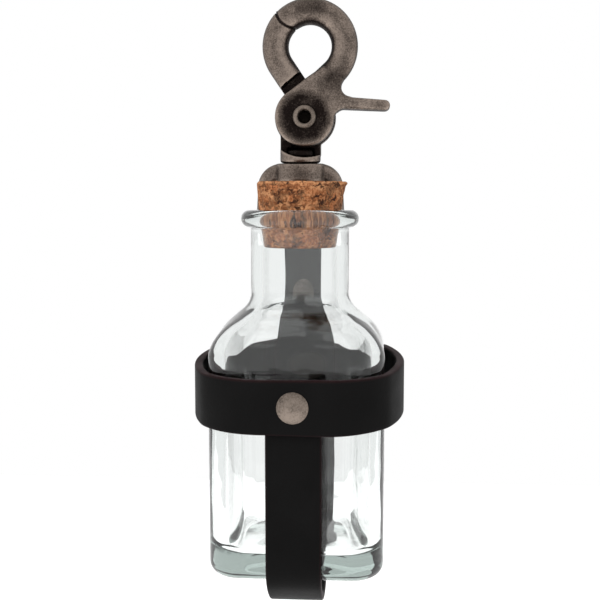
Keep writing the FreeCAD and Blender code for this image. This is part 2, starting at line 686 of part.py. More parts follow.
def jaw_spring():
    """Torsion spring coiled round the rivet between the plates, with a radial leg at each end."""
    rise = coil_pitch * coil_turns
    coil = Part.makeHelix(coil_pitch, rise, coil_radius)
    section = Part.Wire(Part.Circle(V(coil_radius, 0, 0), V(0, 1, 0), wire_radius).toShape())
    spring = Part.Wire(coil.Edges).makePipeShell([section], True, True)
    leg = spring_room - 0.4 - coil_radius
    for z in (0, rise):
        spring = spring.fuse(Part.makeCylinder(wire_radius, leg, V(coil_radius, 0, z), V(1, 0, 0)))
    spring.translate(V(0, 0, -rise / 2))
    spring.rotate(V(0, 0, 0), V(1, 0, 0), 90)
    return hooked(spring)


def hooked(shape):
    """Put a piece made about the pivot in its place above the eye."""
    shape.translate(V(pivot_x, eye_y, pivot_z))
    return shape


def all_pieces():
    """Every piece by name."""
    pieces = {
        "glass_bottle": glass_bottle(),
        "cork_stopper": cork_stopper(),
        "leather_band": leather_band(),
        "leather_strap": leather_strap(),
        "swivel_eye": swivel_eye(),
        "snap_body": snap_body(),
        "snap_jaw": snap_jaw(),
        "jaw_pivot_rivet": jaw_pivot_rivet(),
        "jaw_spring": jaw_spring(),
    }
    front_stack = 2 * leather + layer_gap
    back_stack = 3 * leather + 2 * layer_gap
    flap_face = clamp_y - layer_gap / 2 - leather
    rivets = {
        "front": placed_rivet(front_stack, -strap_face, band_rivet_z, -1),
        "back": placed_rivet(back_stack, strap_face, back_rivet_z, 1),
        "loop": placed_rivet(front_stack, flap_face, loop_rivet_z, 1),
    }
    for where, (cap, post) in rivets.items():
        pieces[where + "_rivet_cap"] = cap
        pieces[where + "_rivet_post"] = post
    return pieces


for name, shape in all_pieces().items():
    shape.translate(-hang_point)
    print(name, "valid", shape.isValid(), "solids", len(shape.Solids), "mm3", round(shape.Volume, 1))
    shape.exportStep("parts/" + name + ".step")
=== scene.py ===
"""Finish of a square glass bottle with a cork, in a riveted leather holder on a swivel snap hook."""
import math

import bmesh
import bpy
import numpy as np
from bpy.props import FloatProperty, FloatVectorProperty, PointerProperty
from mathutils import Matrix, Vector


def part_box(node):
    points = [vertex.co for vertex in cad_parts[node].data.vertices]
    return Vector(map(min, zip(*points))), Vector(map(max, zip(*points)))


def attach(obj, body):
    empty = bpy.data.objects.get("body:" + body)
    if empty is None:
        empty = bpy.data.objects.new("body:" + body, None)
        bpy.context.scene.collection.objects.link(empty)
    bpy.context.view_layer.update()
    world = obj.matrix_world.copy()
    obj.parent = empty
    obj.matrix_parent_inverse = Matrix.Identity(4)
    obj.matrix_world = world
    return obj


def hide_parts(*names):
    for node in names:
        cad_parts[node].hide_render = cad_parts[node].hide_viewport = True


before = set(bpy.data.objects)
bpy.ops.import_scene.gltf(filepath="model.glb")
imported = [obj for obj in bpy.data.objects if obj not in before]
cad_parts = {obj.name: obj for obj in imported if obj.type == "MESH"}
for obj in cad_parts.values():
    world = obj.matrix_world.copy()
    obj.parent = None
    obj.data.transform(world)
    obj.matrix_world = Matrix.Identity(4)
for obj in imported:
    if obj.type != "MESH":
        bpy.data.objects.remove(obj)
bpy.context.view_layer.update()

bl_info = {
    "name": "Potion bottle in a leather holder",
    "version": (1, 0, 0),
    "blender": (4, 5, 0),
    "location": "View3D > Sidebar > Potion Bottle",
    "description": "Makes the glass, cork, leather and metal of a small bottle on a snap hook",
    "category": "Object",
}

# The middle of the underside of the glass, in metres. Shapes are worked out from there in millimetres.
glass_low, glass_high = (np.array(corner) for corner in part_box("glass_bottle"))
BOTTLE_FOOT = np.array([(glass_low[0] + glass_high[0]) / 2, (glass_low[1] + glass_high[1]) / 2, glass_low[2]])
MM = 0.001


# Shapes on a grid

def measured(node):
    """A CAD node's box as (lowest, highest) corners in millimetres from the bottle's foot."""
    low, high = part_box(node)
    return (np.array(low) - BOTTLE_FOOT) / MM, (np.array(high) - BOTTLE_FOOT) / MM


def linked(name, mesh):
    """An object in the scene for a mesh, at the origin."""
    piece = bpy.data.objects.new(name, mesh)
    bpy.context.scene.collection.objects.link(piece)
    return piece


def fade(values, none_at, full_at):
    """A share that is 0 at none_at, 1 at full_at, straight between them and level beyond."""
    return np.clip((values - none_at) / (full_at - none_at), 0, 1)


def surface(name, grid, start=None, end=None, marks=None):
    """One smooth mesh from a (rows, columns, 3) grid in millimetres whose columns close on themselves.

    Row i and row i + 1 are joined by quads: (i, j), (i, j + 1), (i + 1, j + 1), (i + 1, j). A start or end
    point closes the first or last row with a fan. marks holds a number per grid point for each attribute.
    """
    rows, columns = grid.shape[:2]
    index = np.arange(rows * columns).reshape(rows, columns)
    after = np.roll(index, -1, axis=1)
    quads = np.stack([index[:-1], after[:-1], after[1:], index[1:]], axis=-1).reshape(-1, 4)
    points = [grid.reshape(-1, 3)]
    fans = []
    for centre, row, way in ((start, 0, -1), (end, rows - 1, 1)):
        if centre is not None:
            tip = rows * columns + len(points) - 1
            ring = np.stack([index[row], after[row], np.full(columns, tip)], axis=-1)
            fans.append(ring[:, ::way])
            points.append(np.asarray(centre, float).reshape(1, 3))
    faces = quads.tolist() + [face for fan in fans for face in fan.tolist()]
    mesh = bpy.data.meshes.new(name)
    mesh.from_pydata((BOTTLE_FOOT + np.concatenate(points) * MM).tolist(), [], faces)
    for mark, values in (marks or {}).items():
        flat = np.zeros(len(mesh.vertices), np.float32)
        flat[: rows * columns] = np.broadcast_to(values, (rows, columns)).reshape(-1)
        flat[rows * columns:] = flat[rows * columns - 1]
        mesh.attributes.new(mark, "FLOAT", "POINT").data.foreach_set("value", flat)
    mesh.shade_smooth()
    mesh.validate()
    return linked(name, mesh)


def waves(points, length, seed, count=14):
    """Slow unevenness, mostly between -1 and 1, of about that length.

    It is a sum of sines of k.p + phase over the square root of their number, with |k| near 2 pi / length.
    """
    rng = np.random.default_rng(seed)
    ways = rng.normal(size=(count, 3))
    sizes = (2 * np.pi / length) * rng.uniform(0.6, 1.5, (count, 1))
    ways *= sizes / np.linalg.norm(ways, axis=1, keepdims=True)
    phases = rng.uniform(0, 2 * np.pi, count)
    return np.sin(points @ ways.T + phases).sum(axis=-1) / math.sqrt(count)


def square_reach(half, corner, angle):
    """Distance from the middle of a rounded square to its edge in the direction of angle.

    Folded into an eighth of a turn it is half / cos on the flat, and on the corner arc
    f (cos + sin) + sqrt((f (cos + sin))^2 - 2 f^2 + corner^2) with f = half - corner.
    """
    folded = np.abs((angle + np.pi / 4) % (np.pi / 2) - np.pi / 4)
    flat = half - corner
    along = flat * (np.cos(folded) + np.sin(folded))
    inside = np.maximum(along**2 - 2 * flat**2 + corner**2, 0)
    return np.where(np.tan(folded) * half <= flat, half / np.cos(folded), along + np.sqrt(inside))


def through(stations, count):
    """A smooth curve through (height, width) stations.

    Its spans are cubic Hermite ones, with the slope at each station taken from its neighbours.
    """
    stations = np.array(stations, float)
    run = np.concatenate([[0], np.cumsum(np.linalg.norm(np.diff(stations, axis=0), axis=1))])
    slopes = np.gradient(stations, run, axis=0)
    at = np.linspace(0, run[-1], count)
    i = np.clip(np.searchsorted(run, at, side="right") - 1, 0, len(run) - 2)
    step = (run[i + 1] - run[i])[:, None]
    s = ((at - run[i]) / (run[i + 1] - run[i]))[:, None]
    return (stations[i] * (2 * s**3 - 3 * s**2 + 1) + slopes[i] * step * (s**3 - 2 * s**2 + s)
            + stations[i + 1] * (3 * s**2 - 2 * s**3) + slopes[i + 1] * step * (s**3 - s**2))


def trace(parts, step):
    """Points and unit tangents along lines and arcs, about step apart.

    A line is ("line", start, end); an arc is ("arc", centre, radius, first angle, last angle) in degrees.
    """
    points, tangents = [], []
    for kind, *values in parts:
        if kind == "line":
            start, end = np.array(values[0], float), np.array(values[1], float)
            length = np.linalg.norm(end - start)
            count = max(int(length / step), 2)
            share = np.arange(count) / count
            points.append(start + share[:, None] * (end - start))
            tangents.append(np.broadcast_to((end - start) / length, points[-1].shape))
            last = end, (end - start) / length
        else:
            centre, radius, first, final = values
            turn = math.radians(final - first)
            count = max(int(abs(turn) * radius / step), 8)
            angles = math.radians(first) + turn * np.arange(count + 1) / count
            out = np.stack([np.cos(angles), np.sin(angles)], axis=-1)
            way = np.sign(turn) * np.stack([-np.sin(angles), np.cos(angles)], axis=-1)
            points.append((np.array(centre) + radius * out)[:-1])
            tangents.append(way[:-1])
            last = np.array(centre) + radius * out[-1], way[-1]
    points.append(last[0][None])
    tangents.append(last[1][None])
    return np.concatenate(points), np.concatenate(tangents)


def cut_profile(width, thickness, edge_round, across=22, through_count=4):
    """Section of a leather strip: a rectangle with rounded edges, as (across, up, cut edge share) arrays.

    The long faces lie at up = 0 and up = thickness; each corner is a quarter circle of radius edge_round.
    """
    half, r = width / 2, edge_round
    quarter = np.linspace(0, np.pi / 2, 5)
    sin, cos = np.sin(quarter), np.cos(quarter)
    flat = np.linspace(-half + r, half - r, across)[1:-1]
    side = np.linspace(r, thickness - r, through_count)[1:-1]
    # along the lower face and up one side; the other half is the same turned by half a turn
    a = np.concatenate([flat, half - r + r * sin, np.full(len(side), half), half - r + r * cos])
    b = np.concatenate([np.zeros(len(flat)), r - r * cos, side, thickness - r + r * sin])
    edge = np.concatenate([np.zeros(len(flat)), sin, np.ones(len(side)), cos])
    return np.concatenate([a, -a]), np.concatenate([b, thickness - b]), np.concatenate([edge, edge])


def carried(path, tangents, profile, lift, edge_round):
    """A strip: at each path point the profile is laid along the outward normal n and the width's axis.

    Point = path + n * up + axis * across; n is the tangent turned a quarter to the right. Both ends are
    rounded over like the edges by rows that shrink towards the profile's middle, and closed by a fan.
    lift turns (plane point, across) into three coordinates.
    """
    across, up, edge = profile
    middle = up.max() / 2
    half = across.max()
    turns = np.linspace(0, np.pi / 2, 5)[1:]
    inset = edge_round * (1 - np.cos(turns))
    ahead = edge_round * np.sin(turns)
    length = np.concatenate([[0], np.cumsum(np.linalg.norm(np.diff(path, axis=0), axis=1))])
    clear = edge_round + 0.05
    keep = (length > clear) & (length < length[-1] - clear)
    straight = np.zeros(keep.sum() + 2)
    firsts = path[0] + tangents[0] * (edge_round - np.concatenate([ahead[::-1], [0]])[:, None])
    lasts = path[-1] - tangents[-1] * (edge_round - np.concatenate([[0], ahead])[:, None])
    at = np.concatenate([firsts, path[keep], lasts])
    way = np.concatenate([np.repeat(tangents[:1], len(firsts), axis=0), tangents[keep],
                          np.repeat(tangents[-1:], len(lasts), axis=0)])
    shrink = np.concatenate([inset[::-1], straight, inset])[:, None]
    normal = np.stack([way[:, 1], -way[:, 0]], axis=-1)
    a = across * (half - shrink) / half
    b = middle + (up - middle) * (middle - shrink) / middle
    grid = lift(at[:, None, :] + normal[:, None, :] * b[..., None], a)
    end = np.concatenate([ahead[::-1], straight, ahead])[:, None] / edge_round
    cut = np.maximum(edge[None, :], end)
    ends = [lift((at[i] + normal[i] * middle)[None, None], np.zeros((1, 1)))[0, 0] for i in (0, -1)]
    return grid, ends, cut


# Materials

class Finish:
    """A procedural material: a Principled shader and the nodes that feed it."""

    def __init__(self, name):
        self.material = bpy.data.materials.new(name)
        self.material.use_nodes = True
        self.nodes = self.material.node_tree.nodes
        self.links = self.material.node_tree.links
        self.shader = self.nodes["Principled BSDF"]
        self.output = self.nodes["Material Output"]

    def set(self, **values):
        """Constants on the shader's own sockets."""
        for socket, value in values.items():
            self.shader.inputs[socket.replace("_", " ")].default_value = value

    def add(self, kind, inputs=None, **settings):
        """A node with its settings; inputs maps a socket's name or number to a value or an output."""
        node = self.nodes.new("ShaderNode" + kind)
        for setting, value in settings.items():
            setattr(node, setting, value)
        for socket, value in (inputs or {}).items():
            if isinstance(value, bpy.types.NodeSocket):
                self.links.new(value, node.inputs[socket])
            else:
                node.inputs[socket].default_value = value
        return node

    def place(self):
        """Object coordinates, in metres from the hook ring's middle."""
        return self.add("TexCoord").outputs["Object"]

    def noise(self, size, detail=3.0, rough=0.5, at=None, distortion=0.0):
        """Noise whose features are about size metres across."""
        inputs = {"Vector": at or self.place(), "Scale": 1 / size, "Detail": detail, "Roughness": rough,
                  "Distortion": distortion}
        return self.add("TexNoise", inputs).outputs["Fac"]

    def ramp(self, value, *stops):
        """A colour ramp through (position, colour) stops; a number makes a grey."""
        node = self.add("ValToRGB", {"Fac": value})
        points = node.color_ramp.elements
        while len(points) < len(stops):
            points.new(0.5)
        for point, (position, colour) in zip(points, stops):
            point.position = position
            grey = isinstance(colour, (int, float))
            point.color = (colour, colour, colour, 1) if grey else (*colour[:3], 1)
        return node.outputs["Color"]

    def maths(self, kind, a, b=0.0, clamp=False):
        """One sum on two numbers."""
        return self.add("Math", {0: a, 1: b}, operation=kind, use_clamp=clamp).outputs[0]

    def mix(self, share, a, b, blend="MIX"):
        """Colour a to colour b."""
        node = self.add("Mix", {"Factor": share}, data_type="RGBA", blend_type=blend)
        for socket, value in ((node.inputs[6], a), (node.inputs[7], b)):
            if isinstance(value, bpy.types.NodeSocket):
                self.links.new(value, socket)
            else:
                socket.default_value = (*value[:3], 1)
        return node.outputs[2]

    def bump(self, height, distance, strength=1.0, normal=None):
        """Bump of that height in metres."""
        inputs = {"Height": height, "Distance": distance, "Strength": strength}
        if normal is not None:
            inputs["Normal"] = normal
        return self.add("Bump", inputs).outputs["Normal"]

    def feed(self, socket, value):
        """Link an output to one of the shader's sockets."""
        self.links.new(value, self.shader.inputs[socket])


def clear_glass(settings):
    """Clear soda glass with a faint tint in its thick parts and small dimples on the standing ring.

    A shadow ray loses a tenth at each face it crosses, so the glass throws the light shadow that glass has.
    """
    glass = Finish("bottle_glass")
    glass.set(Base_Color=(1.0, 1.0, 1.0, 1), Transmission_Weight=1.0, Roughness=0.0, IOR=1.5)
    at = glass.place()
    ripple = glass.noise(0.011, detail=1.0, at=at)
    height = glass.add("SeparateXYZ", {0: at}).outputs["Z"]
    foot = float(BOTTLE_FOOT[2])
    underside = glass.add("MapRange", {"Value": height, "From Min": foot + 0.0006, "From Max": foot + 0.0014,
                                       "To Min": 1.0, "To Max": 0.0}).outputs[0]
    dots = glass.add("TexVoronoi", {"Vector": at, "Scale": 1 / settings.stipple, "Randomness": 0.25})
    dots = glass.ramp(dots.outputs["Distance"], (0.15, 1.0), (0.55, 0.0))
    axis = (-BOTTLE_FOOT[0], -BOTTLE_FOOT[1], 0.0)
    flat = glass.add("VectorMath", {0: at, 1: axis}, operation="ADD").outputs[0]
    flat = glass.add("VectorMath", {0: flat, 1: (1.0, 1.0, 0.0)}, operation="MULTIPLY").outputs[0]
    out = glass.add("VectorMath", {0: flat}, operation="LENGTH").outputs["Value"]
    standing_ring = glass.add("MapRange", {"Value": out, "From Min": 0.0175, "From Max": 0.0195}).outputs[0]
    dimples = glass.maths("MULTIPLY", glass.maths("MULTIPLY", underside, dots), standing_ring)
    rippled = glass.bump(ripple, 0.00035, 0.35)
    glass.feed("Normal", glass.bump(dimples, 0.0003, 0.14, normal=rippled))
    tint = glass.add("VolumeAbsorption", {"Color": (*settings.tint, 1), "Density": settings.tint_density})
    glass.links.new(tint.outputs["Volume"], glass.output.inputs["Volume"])
    shadow = glass.add("LightPath").outputs["Is Shadow Ray"]
    passing = glass.add("BsdfTransparent", {"Color": (0.9, 0.9, 0.9, 1)})
    blown = glass.add("MixShader", {0: shadow, 1: glass.shader.outputs[0], 2: passing.outputs[0]})
    glass.links.new(blown.outputs[0], glass.output.inputs["Surface"])
    return glass.material


def black_leather(settings):
    """Black vegetable-tanned leather: fine grain, dull face, cut edges dyed dark red-brown and burnished."""
    hide = Finish("black_leather")
    at = hide.place()
    edge = hide.add("Attribute", attribute_name="cut_edge").outputs["Fac"]
    cloud = hide.noise(0.012, detail=4.0, at=at)
    fine = hide.noise(0.00045, detail=3.0, rough=0.6, at=at)
    pores = hide.add("TexVoronoi", {"Vector": at, "Scale": 1400.0}).outputs["Distance"]
    face = hide.mix(cloud, settings.leather_colour, [c * 1.9 for c in settings.leather_colour])
    worn = hide.ramp(hide.maths("MULTIPLY", edge, hide.noise(0.003, at=at)), (0.15, 0.0), (0.6, 1.0))
    rim = hide.mix(cloud, settings.edge_colour, [c * 1.6 for c in settings.edge_colour])
    dyed = hide.maths("MAXIMUM", worn, hide.maths("MULTIPLY", edge, 0.75))
    hide.feed("Base Color", hide.mix(dyed, face, rim))
    rough = hide.ramp(cloud, (0.3, settings.leather_roughness), (0.75, settings.leather_roughness - 0.12))
    hide.feed("Roughness", rough)
    hide.set(Specular_IOR_Level=0.045)
    grain = hide.bump(pores, 0.00004, 0.6)
    grain = hide.bump(fine, 0.00005, 0.5, normal=grain)
    hide.feed("Normal", hide.bump(cloud, 0.0006, 0.25, normal=grain))
    return hide.material


def cork_bark(settings):
    """Agglomerated cork: granules bent by noise, pale skins round some, dark cracks and long pores."""
    bark = Finish("cork")
    at = bark.place()
    swirl = bark.add("TexNoise", {"Vector": at, "Scale": 420.0, "Detail": 4.0, "Roughness": 0.6})
    push = bark.add("VectorMath", {0: swirl.outputs["Color"], 3: 0.0052}, operation="SCALE").outputs[0]
    bent = bark.add("VectorMath", {0: at, 1: push}, operation="ADD").outputs[0]
    granule = bark.add("TexVoronoi", {"Vector": bent, "Scale": 360.0})
    skins = bark.add("TexVoronoi", {"Vector": bent, "Scale": 360.0}, feature="DISTANCE_TO_EDGE")
    skins = skins.outputs["Distance"]
    tone = bark.add("SeparateColor", {0: granule.outputs["Color"]}).outputs[0]
    pale = settings.vein_colour

    def light(share):
        return [c * share for c in settings.cork_colour]

    body = bark.ramp(tone, (0.0, light(0.40)), (0.3, light(0.85)), (0.7, light(1.0)), (1.0, light(1.6)))
    fine = bark.noise(0.0006, detail=5.0, rough=0.7, at=at)
    body = bark.mix(bark.ramp(fine, (0.46, 0.0), (0.62, 0.75)), body, light(0.35))
    body = bark.mix(bark.ramp(fine, (0.36, 0.6), (0.48, 0.0)), body, pale)
    some = bark.ramp(bark.noise(0.0035, detail=2.0, at=at), (0.38, 0.0), (0.50, 1.0))
    veins = bark.maths("MULTIPLY", bark.ramp(skins, (0.0, 1.0), (0.14, 0.0)), some)
    body = bark.mix(veins, body, pale)
    # longer along the cork's grain than across it
    lying = bark.add("VectorMath", {0: bent, 1: (1.0, 1.0, 2.4)}, operation="MULTIPLY").outputs[0]
    pores = bark.ramp(bark.noise(0.0034, detail=4.0, rough=0.6, at=lying), (0.58, 0.0), (0.63, 1.0))
    # the cracks lie round other granules than the pale skins do
    elsewhere = bark.add("VectorMath", {0: at, 1: (0.03, 0.01, 0.02)}, operation="ADD").outputs[0]
    others = bark.ramp(bark.noise(0.0042, detail=2.0, at=elsewhere), (0.46, 0.0), (0.56, 1.0))
    cracks = bark.maths("MULTIPLY", bark.ramp(skins, (0.0, 1.0), (0.12, 0.0)), others)
    dark = bark.maths("MAXIMUM", cracks, pores, clamp=True)
    worn = bark.add("Attribute", attribute_name="rim").outputs["Fac"]
    body = bark.mix(bark.maths("MULTIPLY", worn, 0.7), body, pale)
    bark.feed("Base Color", bark.mix(bark.maths("MULTIPLY", dark, 0.92), body, settings.crack_colour))
    bark.set(Roughness=0.85, Specular_IOR_Level=0.22)
    relief = bark.bump(dark, -0.0004, 0.9)
    relief = bark.bump(veins, 0.0002, 0.6, normal=relief)
    bark.feed("Normal", bark.bump(fine, 0.00022, 0.8, normal=relief))
    return bark.material


def antique_metal(name, bright, dark, roughness, hollows=True, mottle=0.8, tarnish=0.0):
    """Cast metal: a dark patina lies in its hollows and recesses, and its raised edges are rubbed bright.

    The patina's share grows with the surface's patina_and_painted_light attribute (where it has one), which
    also holds painted shade and a painted highlight, with how closed in the place is, and with a slow blotch
    of strength mottle; tarnish lies all over; fine grit breaks it up.
    """
    cast = Finish(name)
    at = cast.place()
    closed = cast.add("AmbientOcclusion", {"Distance": 0.004}, samples=8).outputs["AO"]
    blotch = cast.noise(0.0045, detail=4.0, rough=0.6, at=at)
    grit = cast.noise(0.00045, detail=5.0, rough=0.75, at=at)
    dents = cast.noise(0.0011, detail=2.0, rough=0.5, at=at)
    patina = cast.maths("ADD", cast.ramp(closed, (0.30, 1.0), (0.85, 0.0)), tarnish)
    if hollows:
        # this attribute holds the patina and also painted shade and a painted highlight
        patina_and_painted = cast.add("Attribute", attribute_name="patina_and_painted_light").outputs["Fac"]
        patina_and_painted = cast.ramp(patina_and_painted, (0.20, 0.0), (0.50, 0.42), (0.85, 1.0))
        patina = cast.maths("ADD", patina, patina_and_painted, clamp=True)
    for spots, strength, clamp in ((blotch, mottle, False), (grit, 1.5, True)):
        spots = cast.maths("MULTIPLY", cast.maths("SUBTRACT", spots, 0.5), strength)
        patina = cast.maths("ADD", patina, spots, clamp=clamp)
    middle = [0.45 * a + 0.55 * b for a, b in zip(bright, dark)]
    colour = cast.mix(cast.ramp(patina, (0.0, 0.0), (0.45, 1.0)), bright, middle)
    cast.feed("Base Color", cast.mix(cast.ramp(patina, (0.35, 0.0), (1.0, 1.0)), colour, dark))
    cast.set(Metallic=1.0)
    cast.feed("Roughness", cast.ramp(patina, (0.1, roughness), (0.9, roughness + 0.22)))
    dented = cast.bump(dents, 0.00012, 0.5)
    cast.feed("Normal", cast.bump(grit, 0.00006, 0.5, normal=dented))
    return cast.material


def neighbours_mean(values, pairs, counts):
    """For each vertex the mean of its neighbours' values: sums over both ends of every edge."""
    total = np.zeros_like(values)
    for axis in range(values.shape[1]):
        total[:, axis] = (np.bincount(pairs[:, 0], values[pairs[:, 1], axis], len(values))
                          + np.bincount(pairs[:, 1], values[pairs[:, 0], axis], len(values)))
    return total / counts[:, None]


def evened(values, pairs, counts, share, times):
    """Each vertex's values moved by a share of the way to its neighbours' mean, so many times."""
    for _ in range(times):
        values = values + share * (neighbours_mean(values, pairs, counts) - values)
    return values


def rows_of(items, name, width, kind=float):
    """The numbers of a mesh's vertices or edges, a row each."""
    values = np.zeros(len(items) * width, kind)
    items.foreach_get(name, values)
    return values.reshape(-1, width)


def move_to(mesh, points):
    """Put the vertices at points in millimetres."""
    mesh.vertices.foreach_set("co", points.ravel() * MM)
    mesh.update()


def even_skin(name, node, cell):
    """A copy of a CAD node with its loose triangles merged and one even skin of cells of that size."""
    shell = bmesh.new()
    shell.from_mesh(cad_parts[node].data)
    bmesh.ops.remove_doubles(shell, verts=shell.verts, dist=1e-7)
    rough = bpy.data.meshes.new(name + "_rough")
    shell.to_mesh(rough)
    shell.free()
    draft = linked(name + "_draft", rough)
    skin = draft.modifiers.new("skin", "REMESH")
    skin.mode = "VOXEL"
    skin.voxel_size = cell * MM
    mesh = bpy.data.meshes.new_from_object(draft.evaluated_get(bpy.context.evaluated_depsgraph_get()))
    bpy.data.objects.remove(draft)
    mesh.name = name
    return mesh


def kept_sharp(points, seam):
    """The share of its sharp form that each vertex keeps: full at the tip's seam and round the spring."""
    x, z, radius = seam
    off = np.hypot(points[:, 0] - x, points[:, 2] - z) - radius
    at_tip = np.exp(-(off / 0.45) ** 2) * (points[:, 2] > 0) * fade(points[:, 0], x, x - 1.2)
    low, high = (np.array(corner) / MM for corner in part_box("jaw_spring"))
    beyond = np.maximum(np.maximum(low - points, points - high), 0).max(axis=1)
    return np.maximum(at_tip, fade(beyond, 0.8, 0.4))


def close_seam(points, normals, seam, gap=0.02):
    """Slide the seam's two faces to a hair inside and outside its radius, so that they never cross."""
    x, z, radius = seam
    away = np.maximum(np.hypot(points[:, 0] - x, points[:, 2] - z), 0.1)
    outward = (normals[:, 0] * (points[:, 0] - x) + normals[:, 2] * (points[:, 2] - z)) / away
    near = (np.abs(away - radius) < 0.35) & (np.abs(outward) > 0.6)
    near &= (points[:, 2] > 0) & (points[:, 0] < x - 0.2)
    slide = np.where(near, (radius - gap * np.sign(outward)) / away - 1, 0.0)
    points[:, 0] += slide * (points[:, 0] - x)
    points[:, 2] += slide * (points[:, 2] - z)


def patina_and_painted_light_at(points, average, normals, pools, ring, seam, dark_above):
    """Where the patina gathers and where shade and highlight are painted: 0.5 on a level face, 1 in a recess
    or painted shade and 0 on an edge or painted highlight.

    The depth under the smoothed surface gives the patina. Faces that look sideways get painted shade; pools,
    ring, seam and dark_above add the rest, as casting() says.
    """
    patina_and_painted_light = 0.5 + ((average - points) * normals).sum(axis=1) / 0.8
    facing = np.abs(normals[:, 1])
    level = fade(facing, 0.3, 0.8)
    # painted shade: faces that look sideways are darker than those that look forwards
    patina_and_painted_light += 0.34 * fade(facing, 0.62, 0.12)
    # pools: patina in the pivot's dish, painted shade at the arm's foot and on the ring's top
    for x, z, inner, outer, share in pools:
        patina_and_painted_light += share * level * fade(np.hypot(points[:, 0] - x, points[:, 2] - z), outer, inner)
    if ring:
        far = np.maximum(np.hypot(points[:, 0], points[:, 2]), 0.1)
        inward = -(normals[:, 0] * points[:, 0] + normals[:, 2] * points[:, 2]) / far
        # patina and painted shade: the ring's inner faces, which look at its axis, are dark
        patina_and_painted_light += 0.75 * fade(inward, 0.62, 0.90) * fade(far, ring, ring - 2)
        # painted shade: flat faces on the middle plane, in the gap where the halves slide, are dark
        patina_and_painted_light += 0.6 * level * fade(np.abs(points[:, 1]), 1.4, 0.9)
        # painted highlight: forward-looking faces of the ring's crest are lighter
        patina_and_painted_light -= 0.16 * fade(facing, 0.80, 0.98) * fade(far, 11.0, 9.0)
    if seam:
        x, z, radius = seam
        off = np.abs(np.hypot(points[:, 0] - x, points[:, 2] - z) - radius)
        patina_and_painted_light += 0.9 * fade(off, 0.55, 0.25) * (points[:, 2] > 0) * (points[:, 0] < x + 0.5)
    # painted shadow: the eye above this height, inside the barrel, is made black
    if dark_above is not None:
        patina_and_painted_light += fade(points[:, 2], dark_above, dark_above + 0.3)
    return np.clip(patina_and_painted_light, 0, 1).astype(np.float32)


def casting(name, node, cell, softening, flows=(), pools=(), ring=0.0, seam=None, dark_above=None):
    """A cast copy of a CAD node: one even skin of small cells with its corners worn round.

    Softening moves each vertex halfway to its neighbours' mean, so many times. flows holds (x, z, radius,
    times) in millimetres: near there only the depth y is evened out, so one form runs into the next while
    the outline stays. seam (x, z, radius) is the round of the tip, which stays sharp and is dark. The
    attribute patina_and_painted_light says how dark a place is. pools holds (x, z, inner, outer, share): a
    dark round on the flat faces, full within inner and gone at outer; round the pivot's dish it is patina,
    the others are painted shade. Within ring of the origin, faces that look at the Y axis are dark with
    patina and painted shade, the crest gets a painted highlight, and flat faces on the middle plane, where
    the halves slide, get painted shade. Faces that look sideways get painted shade, darker than those that
    look forwards, and all above the height dark_above, in the barrel, is painted black as shadow.
    """
    mesh = even_skin(name, node, cell)
    points = rows_of(mesh.vertices, "co", 3) / MM
    pairs = rows_of(mesh.edges, "vertices", 2, np.int64)
    counts = np.maximum(np.bincount(pairs.ravel(), minlength=len(points)), 1)
    for x, z, radius, times in flows:
        near = np.exp(-((points[:, 0] - x) ** 2 + (points[:, 2] - z) ** 2) / radius ** 2)
        points[:, 1:2] = evened(points[:, 1:2], pairs, counts, 0.6 * near[:, None], times)
    sharp = points
    points = evened(sharp, pairs, counts, 0.5, softening)
    if seam:
        points += kept_sharp(sharp, seam)[:, None] * (sharp - points)
    average = evened(points, pairs, counts, 0.6, 26)
    move_to(mesh, points)
    normals = rows_of(mesh.vertices, "normal", 3)
    patina_and_painted_light = patina_and_painted_light_at(points, average, normals, pools, ring, seam, dark_above)
    if seam:
        close_seam(points, normals, seam)
        move_to(mesh, points)
    mesh.attributes.new("patina_and_painted_light", "FLOAT", "POINT").data.foreach_set("value", patina_and_painted_light)
    mesh.shade_smooth()
    return linked(name, mesh)


def finished(piece, body, material, replaces=()):
    """Give a piece its material and the CAD body that it moves with, and hide the CAD nodes that it replaces.
    """
    piece.data.materials.clear()
    piece.data.materials.append(material)
    if replaces:
        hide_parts(*replaces)
    if body:
        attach(piece, body)
    return piece


# Settings

def length_setting(name, description, default, low, high):
    """A length that a user can set, in metres."""
    return FloatProperty(name=name, description=description, default=default, min=low, max=high,
                         subtype="DISTANCE", unit="LENGTH")


def angle_setting(name, description, default, low, high):
    """An angle that a user can set, in radians."""
    return FloatProperty(name=name, description=description, default=default, min=low, max=high,
                         subtype="ANGLE", unit="ROTATION")


def number_setting(name, description, default, low, high):
    """A plain number that a user can set."""
    return FloatProperty(name=name, description=description, default=default, min=low, max=high)


def share_setting(name, description, default):
    """A share from 0 to 1 that a user can set."""
    return FloatProperty(name=name, description=description, default=default, min=0.0, max=1.0,
                         subtype="FACTOR")


def colour_setting(name, description, default):
    """A colour that a user can set."""
    return FloatVectorProperty(name=name, description=description, default=default, min=0.0, max=1.0,
                               subtype="COLOR")


